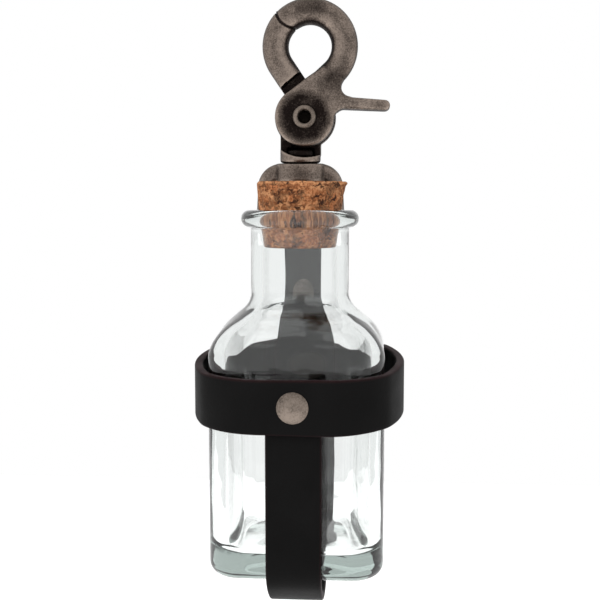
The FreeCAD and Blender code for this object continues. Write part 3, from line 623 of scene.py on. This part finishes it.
class PotionGlassSettings(bpy.types.PropertyGroup):
    """The blown glass."""
    body_corner: length_setting("Corner", "Corner radius of the square body", 0.009, 0.004, 0.02)
    straight: length_setting("Upright walls", "Height up to which the walls are upright",
                             0.0577, 0.03, 0.08)
    wall: length_setting("Wall", "Thickness of the wall", 0.0032, 0.001, 0.006)
    base: length_setting("Base", "Thickness of the base", 0.0065, 0.003, 0.012)
    neck: length_setting("Neck", "Outer radius of the neck", 0.01393, 0.008, 0.02)
    lip: length_setting("Lip", "Outer radius of the rolled lip", 0.0167, 0.01, 0.02)
    inner_corner: length_setting("Inner corner", "Corner radius of the cavity", 0.0082, 0.004, 0.02)
    waviness: length_setting("Waviness", "Unevenness of the inner wall", 0.00010, 0.0, 0.001)
    lens: length_setting("Thick middle", "Front and back are this much thicker in the middle",
                         0.0009, 0.0, 0.002)
    lens_half: length_setting("Middle's half width", "How far the thick middle reaches sideways",
                              0.0145, 0.005, 0.02)
    stipple: length_setting("Stipple", "Spacing of the dots pressed under the base", 0.0011, 0.0003, 0.005)
    tint: colour_setting("Tint", "Colour that thick glass takes on", (0.66, 0.72, 0.70))
    tint_density: number_setting("Tint density", "Strength of the tint per metre of glass",
                                 64.0, 0.0, 200.0)


class PotionCorkSettings(bpy.types.PropertyGroup):
    """The cork."""
    unevenness: length_setting("Unevenness", "Depth of chips and flats on the cork's sides",
                               0.00022, 0.0, 0.001)
    spur: length_setting("Splinter", "How far a splinter stands out of the top edge", 0.0011, 0.0, 0.002)
    spur_turn: angle_setting("Splinter's place", "Turn of the splinter from the right side",
                             0.12, -3.2, 3.2)
    cork_colour: colour_setting("Cork", "Colour of the granules", (0.245, 0.087, 0.033))
    vein_colour: colour_setting("Veins", "Colour of the granules' skins", (0.50, 0.24, 0.11))
    crack_colour: colour_setting("Cracks", "Colour between the granules", (0.020, 0.007, 0.004))


class PotionLeatherSettings(bpy.types.PropertyGroup):
    """The holder's leather."""
    thickness: length_setting("Thickness", "Thickness of the leather", 0.0024, 0.001, 0.004)
    band_height: length_setting("Band height", "Width of the strip round the bottle", 0.0148, 0.005, 0.03)
    edge_round: length_setting("Edge round", "Radius of the rubbed edges", 0.0006, 0.0001, 0.0012)
    leather_colour: colour_setting("Face", "Colour of the grain side", (0.0028, 0.0027, 0.0027))
    edge_colour: colour_setting("Edges", "Colour of the cut edges", (0.011, 0.0045, 0.005))
    leather_roughness: share_setting("Roughness", "Roughness of the grain side", 0.62)


class PotionMetalSettings(bpy.types.PropertyGroup):
    """The hook, eye and rivets."""
    bright: colour_setting("Rubbed metal", "Colour of the rubbed silver", (0.31, 0.25, 0.21))
    patina: colour_setting("Patina", "Colour of the dark hollows", (0.014, 0.010, 0.009))
    rivet: colour_setting("Rivets", "Colour of the rivets in the leather", (0.27, 0.222, 0.187))
    roughness: share_setting("Roughness", "Roughness of the castings", 0.38)
    rivet_roughness: share_setting("Rivets' roughness", "Roughness of the rivets", 0.56)
    dish_dark: length_setting("Dark dish", "The dish round the pivot is dark to this radius",
                              0.0058, 0.0, 0.01)
    dish_worn: length_setting("Worn dish", "The dish's patina is worn off at this radius",
                              0.0084, 0.001, 0.012)
    # painted shadow on the eye's head inside the barrel
    head: length_setting("Black head", "The eye's head in the barrel is black over this length",
                         0.0042, 0.0, 0.01)
    # patina and painted shade on the ring's inner faces
    ring_dark: length_setting("Dark ring", "Inner faces of the ring are dark within this radius",
                              0.015, 0.001, 0.03)


class PotionStageSettings(bpy.types.PropertyGroup):
    """Camera, lamps and floor."""
    distance: length_setting("Distance", "Camera to the bottle's axis, level", 0.2935, 0.1, 2.0)
    height: length_setting("Height", "Camera above the underside of the glass", 0.1033, -0.5, 1.0)
    side: angle_setting("Side", "Turn of the camera round the bottle",
                        math.radians(3.88), -math.pi, math.pi)
    pitch: angle_setting("Pitch", "Tilt of the camera downwards", math.radians(5.6), -1.5, 1.5)
    lens: number_setting("Lens", "Focal length in millimetres", 61.9, 10.0, 300.0)
    floor_depth: length_setting("Floor", "Floor below the bottle, which hangs", 0.18, 0.02, 1.0)
    lamp_level: number_setting("Lamps", "Level of all the lamps together", 1.0, 0.0, 5.0)


# Operators

class POTION_OT_glass(bpy.types.Operator):
    """Blow the glass: one closed surface up the outside and down the inside"""
    bl_idname = "potion.glass"
    bl_label = "Glass"

    columns = 288
    # millimetres
    shoulder_rise = 18.4
    run_in = 3.0         # the shoulder's curve starts this far down the straight wall
    run_out = 2.6        # and ends this far up the neck
    neck_wall = 3.33
    base_round = 3.5
    inner_round = 3.6
    punt = 17.0          # radius of the hollow under the base
    punt_depth = 1.2
    push_up = 1.8
    lip_thick = 4.9
    lip_fillet = 0.5
    bore = 10.6
    bore_depth = 10.5    # the bore widens over this depth for the cork
    cork_taper = 2.25
    cork_height = 18.5
    # the shoulder's curve: (share of its rise, share of the step from the neck's width to the body's)
    shoulder_shape = ((0.20, 0.995), (0.37, 0.906), (0.565, 0.687), (0.723, 0.374), (0.853, 0.116))

    def rows(self, glass):
        """Rows from the middle of the underside, up the outside, over the lip and down to the inner bottom.

        Each row is (height, square half, square corner, scale, roundness, circle): the distance from the axis
        is (1 - roundness) * scale * square_reach + roundness * circle. Returns the rows and the height of the
        middle of the inner bottom.
        """
        half, height = (glass_high[0] - glass_low[0]) / 2 / MM, (glass_high[2] - glass_low[2]) / MM
        corner, straight, wall = glass.body_corner / MM, glass.straight / MM, glass.wall / MM
        base, neck, lip = glass.base / MM, glass.neck / MM, glass.lip / MM
        neck_foot = straight + self.shoulder_rise
        bore_foot = height - self.bore_depth
        quarter = np.linspace(0, np.pi / 2, 9)

        def circles(points):
            """Round rows through (height, radius) points."""
            return [(z, half, corner, 1.0, 1.0, r) for z, r in points]

        def squares(points):
            """Square rows through (height, half, corner) points."""
            return [(z, h, c, 1.0, 0.0, 0.0) for z, h, c in points]

        def shoulder(stations, square, square_corner, count):
            """Rows along a smooth curve that turn from square to round as they get narrower."""
            curve = through(stations, count)
            roundness = fade(curve[:, 1], square, stations[-1][1])
            return [(z, square, square_corner, h / square, t, h) for (z, h), t in zip(curve, roundness)]

        outside = [(straight - self.run_in, half), (straight, half)]
        outside += [(straight + up * self.shoulder_rise, neck + wide * (half - neck))
                    for up, wide in self.shoulder_shape]
        outside += [(neck_foot, neck), (neck_foot + self.run_out, neck)]
        outside = np.array(outside)
        # the inside of the shoulder is the outside moved in by the wall, square to the curve
        slope = np.gradient(outside, axis=0)
        slope /= np.linalg.norm(slope, axis=1, keepdims=True)
        walls = wall + (self.neck_wall - wall) * np.linspace(0, 1, len(outside))[:, None]
        inside = outside + walls * slope[:, ::-1] * [1, -1]

        # outside, from the hollow under the base to the lip
        r, low_half = self.base_round, half - self.base_round
        rows = circles([(self.punt_depth * (1 - (out / self.punt) ** 2), out)
                        for out in np.linspace(1.0, self.punt, 14)])
        rows += [(0.0, low_half, corner - r, 1.0, 1 - s, self.punt) for s in np.linspace(0.15, 1, 7)]
        rows += squares([(r * (1 - math.cos(q)), low_half + r * math.sin(q), corner - r + r * math.sin(q))
                         for q in quarter[1:]])
        rows += squares([(z, half, corner) for z in np.linspace(r, straight - self.run_in, 40)[1:-1]])
        rows += shoulder(outside, half, corner, 56)
        lip_foot, lip_r, fillet = height - self.lip_thick, self.lip_thick / 2, self.lip_fillet
        rows += circles([(z, neck) for z in np.linspace(neck_foot + self.run_out, lip_foot - fillet, 14)[1:]])
        rows += circles([(lip_foot - fillet + fillet * math.sin(q), neck + fillet * (1 - math.cos(q)))
                         for q in quarter[2:]])
        rows += circles([(lip_foot + lip_r + lip_r * math.sin(q), lip - lip_r + lip_r * math.cos(q))
                         for q in np.linspace(-np.pi / 2, np.pi / 2, 20)])

        # inside, from the mouth's rounded edge down
        bore = self.bore
        flare = self.cork_taper / self.cork_height * self.bore_depth
        mouth = bore + flare
        rows += circles([(height, mouth + 0.9), (height - 0.1, mouth + 0.45), (height - 0.35, mouth + 0.12)])
        rows += circles([(z, bore + flare * (z - bore_foot) / self.bore_depth)
                         for z in np.linspace(height - 0.8, bore_foot, 12)])
        rows += circles([(z, bore) for z in np.linspace(bore_foot, inside[-1][0], 10)[1:-1]])
        inner_half, inner_corner = inside[0][1], glass.inner_corner / MM
        rows += shoulder(inside, inner_half, inner_corner, 56)[::-1]
        r = self.inner_round
        rows += squares([(z, inner_half, inner_corner) for z in np.linspace(inside[0][0], base + r, 40)[1:]])
        rows += squares([(base + r * (1 - math.sin(q)), inner_half - r * (1 - math.cos(q)),
                          max(inner_corner - r * (1 - math.cos(q)), 0.4)) for q in quarter[1:]])
        low = inner_half - r
        rows += [(base + self.push_up * (1 - s * s) ** 2, low, inner_corner - r, s, 1 - s ** 0.5, low * s)
                 for s in np.linspace(0.96, 0.04, 24)]
        return np.array(rows, float), base + self.push_up

    def unevenness(self, glass, z, grid, reach):
        """How far out each point of the inner wall is pushed, in millimetres.

        The wall waves in long upright streaks, and the front and back are thickest in their middle, like a
        weak lens. The outside, the inner bottom and the neck stay as they are.
        """
        inner = np.arange(len(z)) >= np.argmax(z)
        body = fade(z, glass.straight / MM + 14, glass.straight / MM + 6) * fade(z, 6.0, 12.0)
        push = (waves(grid * [1.0, 1.0, 0.12], 24.0, 3) - 0.5) * glass.waviness / MM
        beside = np.clip(np.abs(grid[..., 0]) / (glass.lens_half / MM), 0, 1)
        facing = np.clip(np.abs(grid[..., 1]) / np.maximum(reach, 1.0), 0, 1) ** 2
        push = push - glass.lens / MM * (1 - beside ** 2) ** 2 * facing
        return (inner * body)[:, None] * push

    def execute(self, context):
        glass = context.scene.potion_glass
        rows, inner_middle = self.rows(glass)
        angle = np.linspace(0, 2 * np.pi, self.columns, endpoint=False)[None, :]
        z, half, corner, scale, t, circle = (rows[:, i:i + 1] for i in range(6))
        reach = (1 - t) * scale * square_reach(half, corner, angle) + t * circle
        heights = np.broadcast_to(z, reach.shape)
        grid = np.stack([reach * np.cos(angle), reach * np.sin(angle), heights], axis=-1)
        shift = self.unevenness(glass, rows[:, 0], grid, reach)
        grid[..., :2] *= (1 + shift / np.maximum(reach, 1.0))[..., None]
        piece = surface("glass_bottle_blown", grid, start=(0, 0, self.punt_depth), end=(0, 0, inner_middle))
        finished(piece, "holder", clear_glass(glass), ("glass_bottle",))
        return {"FINISHED"}


class POTION_OT_cork(bpy.types.Operator):
    """Cut the cork: a tapered round with chips along its edges and uneven ends"""
    bl_idname = "potion.cork"
    bl_label = "Cork"

    columns = 240
    # millimetres
    taper = 2.25
    edge = 0.6
    lean = 0.45
    free_above_lip = 0.6     # chips start this far above the lip

    def profile(self, foot, top, wide):
        """(height, distance from the axis) points: out over the foot, up the side and back over the top."""
        narrow, r = wide - self.taper, self.edge
        quarter = np.linspace(0, np.pi / 2, 6)
        points = [(foot, out) for out in np.linspace(0.6, narrow - 0.7, 14)]
        points += [(foot + r * (1 - math.cos(q)), narrow - r + r * math.sin(q)) for q in quarter]
        points += [(z, narrow + self.taper * (z - foot) / (top - foot))
                   for z in np.linspace(foot + 1.0, top - 0.9, 90)]
        points += [(top - r + r * math.sin(q), wide - 0.7 + r * math.cos(q)) for q in quarter]
        points += [(top, out) for out in np.linspace(wide - 1.0, 0.6, 26)]
        return np.array(points)

    def execute(self, context):
        cork = context.scene.potion_cork
        low, high = measured("cork_stopper")
        foot, top, wide = low[2], high[2], (high[0] - low[0]) / 2
        profile = self.profile(foot, top, wide)
        angle = np.linspace(0, 2 * np.pi, self.columns, endpoint=False)[None, :]
        z, r = profile[:, :1], profile[:, 1:]
        heights = np.broadcast_to(z, (len(profile), self.columns))
        grid = np.stack([r * np.cos(angle), r * np.sin(angle), heights], axis=-1)
        # chips: only inwards, deepest near the top edge, none where the glass holds the cork
        lip_top = (glass_high[2] - BOTTLE_FOOT[2]) / MM
        free = np.clip((z - lip_top - self.free_above_lip) / 1.5, 0, 1)
        near_top = np.exp(-((top - z) / 1.6) ** 2)
        rough = np.maximum(waves(grid, 4.2, 7), 0) + 0.5 * np.maximum(waves(grid, 1.7, 8), 0)
        depth = cork.unevenness / MM * rough * free * (1 + 1.6 * near_top)
        out = fade(r, 0.6 * wide, wide)
        grid[..., :2] *= (1 - depth * out / np.maximum(r, 1.0))[..., None]
        grid[..., 2] -= depth * free * (z > top - 1.2) * 0.8
        # a splinter stands out of the top edge at the right
        spur = np.exp(-((angle + cork.spur_turn + np.pi) % (2 * np.pi) - np.pi) ** 2 / 0.02)
        spur = cork.spur / MM * spur * np.exp(-((top - z) / 0.9) ** 2) * out
        grid[..., :2] *= (1 + spur / np.maximum(r, 1.0))[..., None]
        # it sits a little crooked: what stands free of the glass leans to the right
        grid[..., 0] += self.lean * fade(z, lip_top, top)
        rim = np.exp(-((top - 0.3 - z) / 0.3) ** 2) * out
        piece = surface("cork_pressed", grid, start=(0, 0, foot), end=(0, 0, top - 0.15), marks={"rim": rim})
        finished(piece, "cork", cork_bark(cork), ("cork_stopper",))
        return {"FINISHED"}


def tangent_point(outside, centre, radius, side):
    """Where the tangent from a point outside touches a circle.

    It runs sqrt(distance^2 - radius^2) in the centre's direction turned by asin(radius / distance): to the
    right for side 1 and to the left for -1.
    """
    dy, dz = centre[0] - outside[0], centre[1] - outside[1]
    far = math.hypot(dy, dz)
    angle = math.atan2(dz, dy) - side * math.asin(radius / far)
    run = math.sqrt(far ** 2 - radius ** 2)
    return outside[0] + run * math.cos(angle), outside[1] + run * math.sin(angle)


def heading(centre, towards):
    """Direction from one point of a plane to another, in degrees."""
    return math.degrees(math.atan2(towards[1] - centre[1], towards[0] - centre[0]))


def bent(points, radii):
    """Straight runs through points with a tangent arc at each inner point, as parts for trace()."""
    parts = []
    at = points[0]
    for before, corner, after, radius in zip(points, points[1:], points[2:], radii):
        a_in = math.atan2(corner[1] - before[1], corner[0] - before[0])
        a_out = math.atan2(after[1] - corner[1], after[0] - corner[0])
        turn = (a_out - a_in + math.pi) % (2 * math.pi) - math.pi
        run = radius * math.tan(abs(turn) / 2)
        first = (corner[0] - run * math.cos(a_in), corner[1] - run * math.sin(a_in))
        side = math.copysign(math.pi / 2, turn)
        centre = (first[0] + radius * math.cos(a_in + side), first[1] + radius * math.sin(a_in + side))
        start = math.degrees(a_in - side)
        parts.append(("line", at, first))
        parts.append(("arc", centre, radius, start, start + math.degrees(turn)))
        at = (corner[0] + run * math.cos(a_out), corner[1] + run * math.sin(a_out))
    parts.append(("line", at, points[-1]))
    return parts


class POTION_OT_band(bpy.types.Operator):
    """Wrap the band: one strip, flat over the strap, bowed at the sides and lapped at the back"""
    bl_idname = "potion.band"
    bl_label = "Leather band"

    # millimetres
    body_half = 24.0     # half width and corner of the body that the strip is shaped round
    body_corner = 9.0
    flat = 8.5           # half the flat over the strap
    corner = 9.6
    corner_gap = 0.4     # between the glass's corner and the band's
    lap = 10.5           # the two ends reach this far past the middle of the back
    lap_start = 11.0     # the outer end lies flat from here on
    slack = 0.10         # the edges wander by about this much

    def route(self, face, side_half, lap_face):
        """Lines and arcs round the bottle, each tangent to the next, from the inner end to the outer one.

        An arc of the corner radius stands at (c, c) in each corner. The front, side and lap arcs are the
        circles that touch it and the flats: with the touching line to away from the middle, the radius is
        ((c - flat)^2 + (to - c)^2 - corner^2) / (2 (to - c - corner)).
        """
        flat, corner, lap_x = self.flat, self.corner, self.lap_start
        diagonal = (self.body_half - self.body_corner) * math.sqrt(2) + self.body_corner + self.corner_gap
        c = (diagonal - corner) / math.sqrt(2)

        def touching(flat_half, to):
            """Radius of the arc from a flat of that half length to the corner's arc."""
            return ((c - flat_half) ** 2 + (to - c) ** 2 - corner ** 2) / (2 * ((to - c) - corner))

        front_r, side_r = touching(flat, face), touching(0, side_half)
        front, side = (flat, front_r - face), (side_half - side_r, 0.0)
        a_front, a_side = heading(front, (c, -c)), heading(side, (c, c))
        span = lap_x - side[0]
        lap_r = (side_r ** 2 - span ** 2 - lap_face ** 2) / (2 * (side_r - lap_face))
        bend = (-lap_x, lap_face - lap_r)
        a_lap = heading((-side[0], 0.0), bend)
        return [
            ("line", (-self.lap, face), (flat, face)),
            ("arc", (flat, -front[1]), front_r, 90, -a_front),
            ("arc", (c, c), corner, -a_front, a_side),
            ("arc", side, side_r, a_side, -a_side),
            ("arc", (c, -c), corner, -a_side, a_front),
            ("arc", front, front_r, a_front, -90),
            ("line", (flat, -face), (-flat, -face)),
            ("arc", (-front[0], front[1]), front_r, -90, -180 - a_front),
            ("arc", (-c, -c), corner, -180 - a_front, -180 + a_side),
            ("arc", (-side[0], 0.0), side_r, -180 + a_side, a_lap - 360),
            ("arc", bend, lap_r, a_lap - 360, -270),
            ("line", (-lap_x, lap_face), (self.lap, lap_face)),
        ]

    def execute(self, context):
        leather = context.scene.potion_leather
        thick, edge_round = leather.thickness / MM, leather.edge_round / MM
        low, high = measured("leather_band")
        parts = self.route(-low[1] - thick, high[0] - thick, high[1] - thick)
        path, tangents = trace(parts, 0.9)
        width = leather.band_height / MM
        slope = (high[2] - low[2] - width) / (high[1] - low[1])

        def level(y):
            """Height of the band's middle, which rises evenly from front to back."""
            return low[2] + width / 2 + slope * (y - low[1])

        def lift(plane, a):
            """Plan points to (x, y, z), with the width upright."""
            return np.stack([plane[..., 0], plane[..., 1], level(plane[..., 1]) + a], axis=-1)

        # carried() puts the thickness on the right of the path, so the band is traced the other way round
        profile = cut_profile(width, thick, edge_round)
        grid, ends, cut = carried(path[::-1], -tangents[::-1], profile, lift, edge_round)
        from_middle = (grid[..., 2] - level(grid[..., 1])) / (width / 2)
        grid[..., 2] -= self.slack * (1 + waves(grid, 34.0, 11)) * from_middle
        piece = surface("leather_band_cut", grid, start=ends[0], end=ends[1], marks={"cut_edge": cut})
        finished(piece, "holder", black_leather(leather), ("leather_band",))
        return {"FINISHED"}


class POTION_OT_strap(bpy.types.Operator):
    """Lay the strap: down the front, in a sling under the base, up the back, round the eye's bar and back"""
    bl_idname = "potion.strap"
    bl_label = "Leather strap"

    # millimetres
    side_round = 9.0      # round of the sling's sides
    side_top = 6.3        # height where they start
    front_end = 1.2       # front end below the band's upper edge
    bar_half = 1.9        # half the eye's bar
    loop_round = 2.2      # inside of the loop
    clamp_up = 5.6        # the loop's halves lie together up to this far above its rivet
    clamp_back = 0.2      # line of the back half there, behind the bar's axis
    clamp_front = 0.1     # and of the front half
    lean_down = 16.4      # the strap starts to lean back this far below the rivet
    lean_rise = 10.5
    tail = 5.0            # the folded end below the rivet
    bend = 12.0
    small_bend = 8.0

    def route(self, face, lowest, band_top, bar, rivet):
        """Lines and arcs in the (y, z) plane, from the end under the band's edge to the folded end.

        The sling under the base is the arc that touches both side arcs and the lowest point.
        """
        side_r, side_top = self.side_round, self.side_top
        side_c, rise = face - side_r, side_top - lowest
        sling_r = (side_c ** 2 + rise ** 2 - side_r ** 2) / (2 * (rise - side_r))
        sling_c = (0.0, lowest + sling_r)
        a = heading(sling_c, (side_c, side_top))
        back_foot = (bar[0] + self.clamp_back, rivet + self.clamp_up)
        front_foot = (bar[0] + self.clamp_front, rivet + self.clamp_up)
        back_touch = tangent_point(back_foot, bar, self.loop_round, 1)
        front_touch = tangent_point(front_foot, bar, self.loop_round, -1)
        lean = rivet - self.lean_down
        up_the_back = [(face, side_top), (face, lean), (back_foot[0], lean + self.lean_rise), back_foot,
                       back_touch]
        return [
            ("line", (-face, band_top - self.front_end), (-face, side_top)),
            ("arc", (-side_c, side_top), side_r, -180, -180 - a),
            ("arc", sling_c, sling_r, -180 - a, a),
            ("arc", (side_c, side_top), side_r, a, 0),
            *bent(up_the_back, [self.bend, self.bend, self.small_bend]),
            ("arc", bar, self.loop_round, heading(bar, back_touch), heading(bar, front_touch) + 360),
            *bent([front_touch, front_foot, (front_foot[0], rivet - self.tail)], [self.small_bend]),
        ]

    def execute(self, context):
        leather = context.scene.potion_leather
        thick, edge_round = leather.thickness / MM, leather.edge_round / MM
        low, high = measured("leather_strap")
        eye_low, eye_high = measured("swivel_eye")
        rivet_low, rivet_high = measured("loop_rivet_cap")
        band_top = measured("leather_band")[0][2] + leather.band_height / MM
        bar = ((eye_low[1] + eye_high[1]) / 2, eye_low[2] + self.bar_half)
        rivet = (rivet_low[2] + rivet_high[2]) / 2
        path, tangents = trace(self.route(-low[1] - thick, low[2] + thick, band_top, bar, rivet), 0.8)

        def lift(plane, a):
            """Side view points to (x, y, z), with the width across."""
            return np.stack([np.broadcast_to(a, plane.shape[:2]), plane[..., 0], plane[..., 1]], axis=-1)

        profile = cut_profile(high[0] - low[0], thick, edge_round)
        grid, ends, cut = carried(path, tangents, profile, lift, edge_round)
        grid[..., 0] *= 1 - 0.012 * (1 + waves(grid, 40.0, 12)) / 2
        piece = surface("leather_strap_cut", grid, start=ends[0], end=ends[1], marks={"cut_edge": cut})
        finished(piece, "holder", black_leather(leather), ("leather_strap",))
        return {"FINISHED"}


class POTION_OT_metal(bpy.types.Operator):
    """Finish the hook, the eye, the rivets and the spring"""
    bl_idname = "potion.metal"
    bl_label = "Hook, eye and rivets"

    # flows and pools of casting(), in millimetres from the pivot
    arm_foot = (8.6, 13.0, 6.0, 800)            # where the right arm runs into the front plate
    lever_root = (12.0, 4.6, 3.2, 200)
    # painted shade where the right arm runs into the front plate
    foot_shade = (9.0, 12.0, 1.0, 7.0, 0.25)
    # and in millimetres from the ring's middle
    # painted shade on the top of the ring
    top_shade = (0.5, 10.5, 1.5, 7.0, 0.25)
    seam = (-4.5, 10.8, 5.65)                   # the jaw's round tip lies in a hollow of the fixed arm
    cell = 0.23
    dish_share = 0.35
    wire_bright = (0.20, 0.19, 0.17)
    wire_dark = (0.02, 0.017, 0.015)
    rivets = ("front_rivet_cap", "front_rivet_post", "back_rivet_cap", "back_rivet_post", "loop_rivet_cap",
              "loop_rivet_post", "jaw_pivot_rivet")

    def execute(self, context):
        metal = context.scene.potion_metal
        cast = antique_metal("antique_silver", metal.bright, metal.patina, metal.roughness)
        low, high = (np.array(corner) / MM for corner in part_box("jaw_pivot_rivet"))
        pivot_x, pivot_z = (low[0] + high[0]) / 2, (low[2] + high[2]) / 2

        def from_pivot(x, z, *rest):
            """Numbers given from the pivot, from the ring's middle."""
            return (pivot_x + x, pivot_z + z, *rest)

        dish = from_pivot(0, 0, metal.dish_dark / MM, metal.dish_worn / MM, self.dish_share)
        flows = (from_pivot(*self.arm_foot), from_pivot(*self.lever_root))
        ring = metal.ring_dark / MM
        hook = {"ring": ring, "seam": self.seam}
        # from this height up the eye's head inside the barrel is painted black as shadow
        head_foot = (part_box("swivel_eye")[1][2] - metal.head) / MM
        for name, node, body, softening, wear in (
                ("hook_cast_body", "snap_body", "snap", 5, {"pools": (dish,), **hook}),
                ("hook_cast_jaw", "snap_jaw", "jaw", 9,
                 {"pools": (dish, from_pivot(*self.foot_shade), self.top_shade), "flows": flows, **hook}),
                ("eye_cast", "swivel_eye", "eye", 3, {"dark_above": head_foot})):
            piece = casting(name, node, self.cell, softening, **wear)
            finished(piece, body, cast, (node,))
        dull = [c * 0.22 for c in metal.rivet]
        cap = antique_metal("rivet_silver", metal.rivet, dull, metal.rivet_roughness, hollows=False,
                            mottle=1.5, tarnish=0.22)
        for node in self.rivets:
            finished(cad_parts[node], None, cap)
        wire = antique_metal("spring_wire", self.wire_bright, self.wire_dark, 0.4, hollows=False)
        finished(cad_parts["jaw_spring"], None, wire)
        return {"FINISHED"}


# the rays that see the background as white
BACKGROUND_RAYS = ("Is Camera Ray", "Is Glossy Ray", "Is Transmission Ray")


class POTION_OT_stage(bpy.types.Operator):
    """Set the camera at the photograph's angle, soft lamps and a pale floor"""
    bl_idname = "potion.stage"
    bl_label = "Stage"

    def execute(self, context):
        stage = context.scene.potion_stage
        scene = context.scene
        scene.view_settings.view_transform = "Standard"
        camera_data = bpy.data.cameras.new("camera")
        camera_data.lens = stage.lens
        camera_data.sensor_width = 36.0
        camera = bpy.data.objects.new("camera", camera_data)
        right, back = stage.distance * math.sin(stage.side), stage.distance * math.cos(stage.side)
        camera.location = BOTTLE_FOOT + np.array([right, -back, stage.height])
        camera.rotation_euler = (math.pi / 2 - stage.pitch, 0, stage.side)
        scene.collection.objects.link(camera)
        scene.camera = camera
        self.world(scene)
        self.lamps(scene, stage)
        self.floor(stage)
        return {"FINISHED"}

    def world(self, scene):
        """White where the camera, gloss and glass see the background; a plain grey room lights the rest."""
        world = bpy.data.worlds.new("studio")
        world.use_nodes = True
        nodes, links = world.node_tree.nodes, world.node_tree.links
        nodes.clear()
        path = nodes.new("ShaderNodeLightPath")
        seen = path.outputs[BACKGROUND_RAYS[0]]
        for ray in BACKGROUND_RAYS[1:]:
            either = nodes.new("ShaderNodeMath")
            either.operation = "MAXIMUM"
            links.new(seen, either.inputs[0])
            links.new(path.outputs[ray], either.inputs[1])
            seen = either.outputs[0]
        shown = nodes.new("ShaderNodeMixShader")
        links.new(seen, shown.inputs[0])
        for socket, grey, strength in ((1, 0.86, 0.5), (2, 1.0, 1.0)):
            background = nodes.new("ShaderNodeBackground")
            background.inputs["Color"].default_value = (grey, grey, grey, 1)
            background.inputs["Strength"].default_value = strength
            links.new(background.outputs[0], shown.inputs[socket])
        links.new(shown.outputs[0], nodes.new("ShaderNodeOutputWorld").inputs["Surface"])
        scene.world = world

    def lamps(self, scene, stage):
        """Three large soft lamps aimed at the bottle: from the left, from the right and from above."""
        aim = BOTTLE_FOOT + np.array([0, 0, 0.08])
        for name, offset, size, power in (
                ("key", (-0.50, -0.62, 0.34), (1.00, 1.30), 11.0),
                ("fill", (0.70, -0.50, 0.12), (0.90, 1.30), 5.0),
                ("top", (0.05, 0.15, 0.75), (0.90, 0.90), 3.0)):
            lamp_data = bpy.data.lights.new(name, "AREA")
            lamp_data.shape = "RECTANGLE"
            lamp_data.size, lamp_data.size_y = size
            lamp_data.energy = power * stage.lamp_level
            lamp = bpy.data.objects.new(name, lamp_data)
            lamp.location = aim + np.array(offset)
            lamp.rotation_euler = Vector([-o for o in offset]).to_track_quat("-Z", "Y").to_euler()
            # glass and metal mirror the white background instead of the lamps' hard edges
            lamp.visible_glossy = False
            lamp.visible_transmission = False
            scene.collection.objects.link(lamp)

    def floor(self, stage):
        """A wide pale floor under the hanging bottle, white where it is seen and shaded by the object."""
        cells, half_width = 8, 0.7
        line = np.linspace(-half_width, half_width, cells + 1)
        x, y = np.meshgrid(line, line)
        depth = np.full_like(x, BOTTLE_FOOT[2] - stage.floor_depth)
        index = np.arange(x.size).reshape(x.shape)
        near, far = index[:-1], index[1:]
        quads = np.stack([near[:, :-1], near[:, 1:], far[:, 1:], far[:, :-1]], axis=-1).reshape(-1, 4)
        mesh = bpy.data.meshes.new("floor")
        mesh.from_pydata(np.stack([x, y, depth], axis=-1).reshape(-1, 3).tolist(), [], quads.tolist())
        floor = linked("floor", mesh)
        paper = Finish("pale_floor")
        paper.set(Base_Color=(0.62, 0.62, 0.62, 1), Roughness=0.9, Emission_Color=(1, 1, 1, 1))
        path = paper.add("LightPath").outputs
        seen = path[BACKGROUND_RAYS[0]]
        for ray in BACKGROUND_RAYS[1:]:
            seen = paper.maths("MAXIMUM", seen, path[ray])
        paper.feed("Emission Strength", paper.maths("MULTIPLY", seen, 0.8))
        floor.data.materials.append(paper.material)


class POTION_PT_panel(bpy.types.Panel):
    """The pieces of the bottle, one button each"""
    bl_idname = "POTION_PT_panel"
    bl_label = "Potion Bottle"
    bl_space_type = "VIEW_3D"
    bl_region_type = "UI"
    bl_category = "Potion Bottle"

    def draw(self, context):
        for operator in STEPS:
            self.layout.operator(operator.bl_idname)
        for settings in GROUPS:
            group = getattr(context.scene, settings)
            for name in group.bl_rna.properties.keys():
                if name not in ("rna_type", "name"):
                    self.layout.prop(group, name)


STEPS = (POTION_OT_glass, POTION_OT_cork, POTION_OT_band, POTION_OT_strap, POTION_OT_metal, POTION_OT_stage)
GROUPS = {"potion_glass": PotionGlassSettings, "potion_cork": PotionCorkSettings,
          "potion_leather": PotionLeatherSettings, "potion_metal": PotionMetalSettings,
          "potion_stage": PotionStageSettings}


def register():
    """Register the settings, the operators and the panel."""
    for name, group in GROUPS.items():
        bpy.utils.register_class(group)
        setattr(bpy.types.Scene, name, PointerProperty(type=group))
    for operator in STEPS:
        bpy.utils.register_class(operator)
    bpy.utils.register_class(POTION_PT_panel)


def unregister():
    """Take everything out again."""
    bpy.utils.unregister_class(POTION_PT_panel)
    for operator in reversed(STEPS):
        bpy.utils.unregister_class(operator)
    for name, group in reversed(list(GROUPS.items())):
        delattr(bpy.types.Scene, name)
        bpy.utils.unregister_class(group)


def main():
    """Make every piece in order."""
    register()
    for operator in STEPS:
        group, name = operator.bl_idname.split(".")
        getattr(getattr(bpy.ops, group), name)()


if __name__ == "__main__":
    main()
